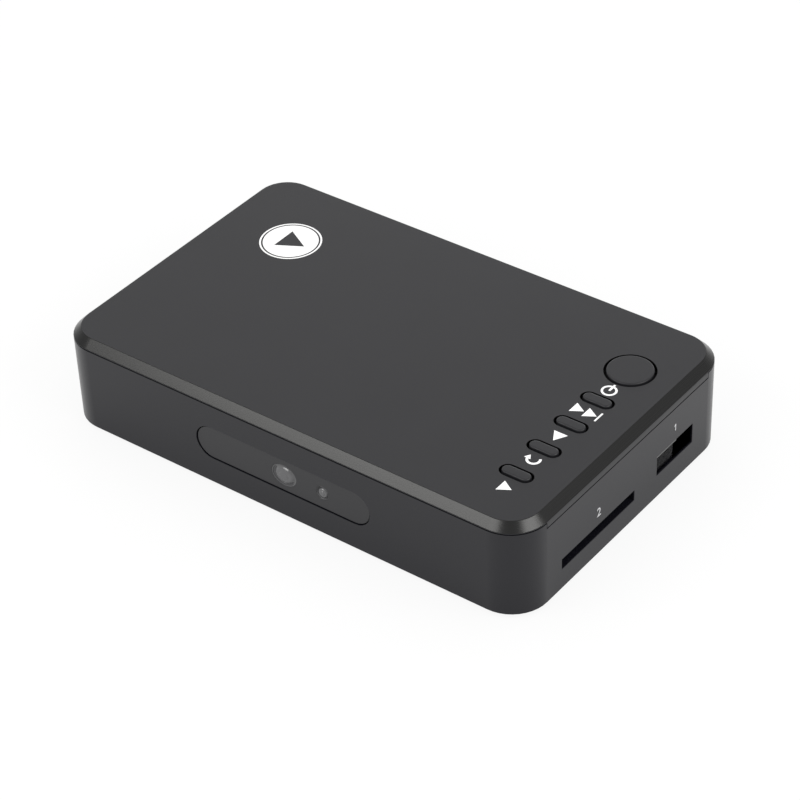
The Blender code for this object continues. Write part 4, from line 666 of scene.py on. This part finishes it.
def build_screws():
    """Case screws with a rounded head and a cross recess, seen from below."""
    for number in range(1, SCREWS + 1):
        node = f"case_screw_{number}"
        low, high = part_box(node)
        middle = (low + high) / 2
        head = (high.x - low.x) / 2
        length = high.z - low.z
        at = Matrix.Translation((middle.x, middle.y, low.z))
        edge = [(head - SCREW_ROUND + SCREW_ROUND * sin(angle), SCREW_ROUND - SCREW_ROUND * cos(angle))
                for angle in (pi / 2 * step / ROUND_STEPS for step in range(ROUND_STEPS + 1))]
        profile = [(0.0, 0.0), *edge, (head, HEAD_HEIGHT), (SHANK_RADIUS, HEAD_HEIGHT),
                   (SHANK_RADIUS, length - SHANK_RADIUS / 2), (SHANK_RADIUS / 2, length), (0.0, length)]
        screw = turned(f"{node}_crossed", profile, SCREW_STEPS, at, MATERIALS["screw_steel"])
        cutter = cross_cutter(f"{node}_cross")
        cutter.location = (middle.x, middle.y, low.z)
        recess = screw.modifiers.new("recess", "BOOLEAN")
        recess.operation = "DIFFERENCE"
        recess.object = cutter
        recess.solver = "EXACT"
        graph = bpy.context.evaluated_depsgraph_get()
        cut = bpy.data.meshes.new_from_object(screw.evaluated_get(graph))
        screw.modifiers.remove(recess)
        screw.data = cut
        bpy.data.objects.remove(cutter, do_unlink=True)
        smooth(screw)
        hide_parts(node)


# Stage, light and camera

def towards(turn, rise):
    """The direction at a turn from the front and a rise, both in radians."""
    return Vector((sin(turn) * cos(rise), -cos(turn) * cos(rise), sin(rise)))


def seen_directly(tree, straight, reflected, rest):
    """A share for what the camera sees straight, one for gloss or through glass, and one for the rest."""
    path = tree.nodes.new("ShaderNodeLightPath")
    total = None
    for kind, share in (("Is Camera Ray", straight), ("Is Glossy Ray", reflected),
                        ("Is Transmission Ray", reflected)):
        part = tree.nodes.new("ShaderNodeMath")
        part.operation = "MULTIPLY"
        tree.links.new(path.outputs[kind], part.inputs[0])
        part.inputs[1].default_value = share
        step = tree.nodes.new("ShaderNodeMath")
        step.operation = "MAXIMUM"
        step.inputs[0].default_value = rest
        if total:
            tree.links.new(total, step.inputs[0])
        tree.links.new(part.outputs[0], step.inputs[1])
        total = step.outputs[0]
    return total


def build_floor():
    """A pale floor with the object's shadow and painted contact shade, where an occlusion node darkens its
    colour near the object, nearly white to the camera and half as bright as light.
    """
    shape = bmesh.new()
    bmesh.ops.create_grid(shape, x_segments=1, y_segments=1, size=FLOOR_SIZE / 2)
    data = bpy.data.meshes.new("floor")
    shape.to_mesh(data)
    shape.free()
    made = bpy.data.materials.new("pale_floor")
    made.use_nodes = True
    tree = made.node_tree
    tree.nodes.remove(tree.nodes["Principled BSDF"])
    # Painted shade: an occlusion node darkens the floor's colour near the object
    painted_contact_shade = add_node(tree, "ShaderNodeAmbientOcclusion", Color=(FLOOR_TONE, FLOOR_TONE, FLOOR_TONE, 1),
                       Distance=PAINTED_SHADE_REACH)
    matt = add_node(tree, "ShaderNodeBsdfDiffuse", Color=painted_contact_shade.outputs["Color"])
    white = add_node(tree, "ShaderNodeEmission", Color=(1, 1, 1, 1), Strength=1.0)
    mixed = tree.nodes.new("ShaderNodeMixShader")
    tree.links.new(seen_directly(tree, FLOOR_WHITE, FLOOR_GLOW, FLOOR_GLOW), mixed.inputs[0])
    tree.links.new(matt.outputs[0], mixed.inputs[1])
    tree.links.new(white.outputs[0], mixed.inputs[2])
    tree.links.new(mixed.outputs[0], tree.nodes["Material Output"].inputs["Surface"])
    data.materials.append(made)
    floor = new_object("floor", data, None)
    floor.location.z = -FLOOR_DROP


def build_sky():
    """A plain white room, at full strength for the camera, gloss and glass, and lower as light."""
    world = bpy.data.worlds.new("white_room")
    world.use_nodes = True
    tree = world.node_tree
    strength = add_node(tree, "ShaderNodeMapRange", Value=seen_directly(tree, 1.0, 1.0, 0.0))
    strength.inputs["To Min"].default_value = SKY_LEVEL
    strength.inputs["To Max"].default_value = 1.0
    back = tree.nodes["Background"]
    back.inputs["Color"].default_value = (1, 1, 1, 1)
    tree.links.new(strength.outputs["Result"], back.inputs["Strength"])
    bpy.context.scene.world = world


def build_lamps():
    middle = (COVER_LOW + COVER_HIGH) / 2
    for name, (place_of_lamp, distance, (width, height), brightness, colour) in LAMPS.items():
        lamp = bpy.data.lights.new(name, "AREA")
        lamp.shape = "RECTANGLE"
        lamp.size, lamp.size_y = width, height
        lamp.energy = brightness * pi * width * height
        lamp.color = colour
        turn, rise = map(radians, place_of_lamp)
        way = towards(turn, rise)
        holder = new_object(name, lamp, None)
        holder.location = middle + way * distance
        holder.rotation_euler = (-way).to_track_quat("-Z", "Y").to_euler()


def build_camera():
    lens = bpy.data.cameras.new("camera")
    lens.sensor_width = SENSOR
    lens.lens = FOCAL_LENGTH
    camera = new_object("camera", lens, None)
    way = towards(VIEW_TURN, VIEW_RISE)
    camera.location = Vector(VIEW_TARGET) + way * VIEW_DISTANCE
    level = (-way).to_track_quat("-Z", "Y")
    camera.rotation_mode = "QUATERNION"
    camera.rotation_quaternion = level @ Quaternion((0, 0, 1), -VIEW_ROLL)
    bpy.context.scene.camera = camera


for node_name, node_piece in NODES.items():
    dress_node(node_name, node_piece)
print_symbols()
print_numerals()
build_drive_lip()
build_lenses()
build_screws()
build_floor()
build_sky()
build_lamps()
build_camera()
bpy.context.scene.view_settings.view_transform = "Standard"
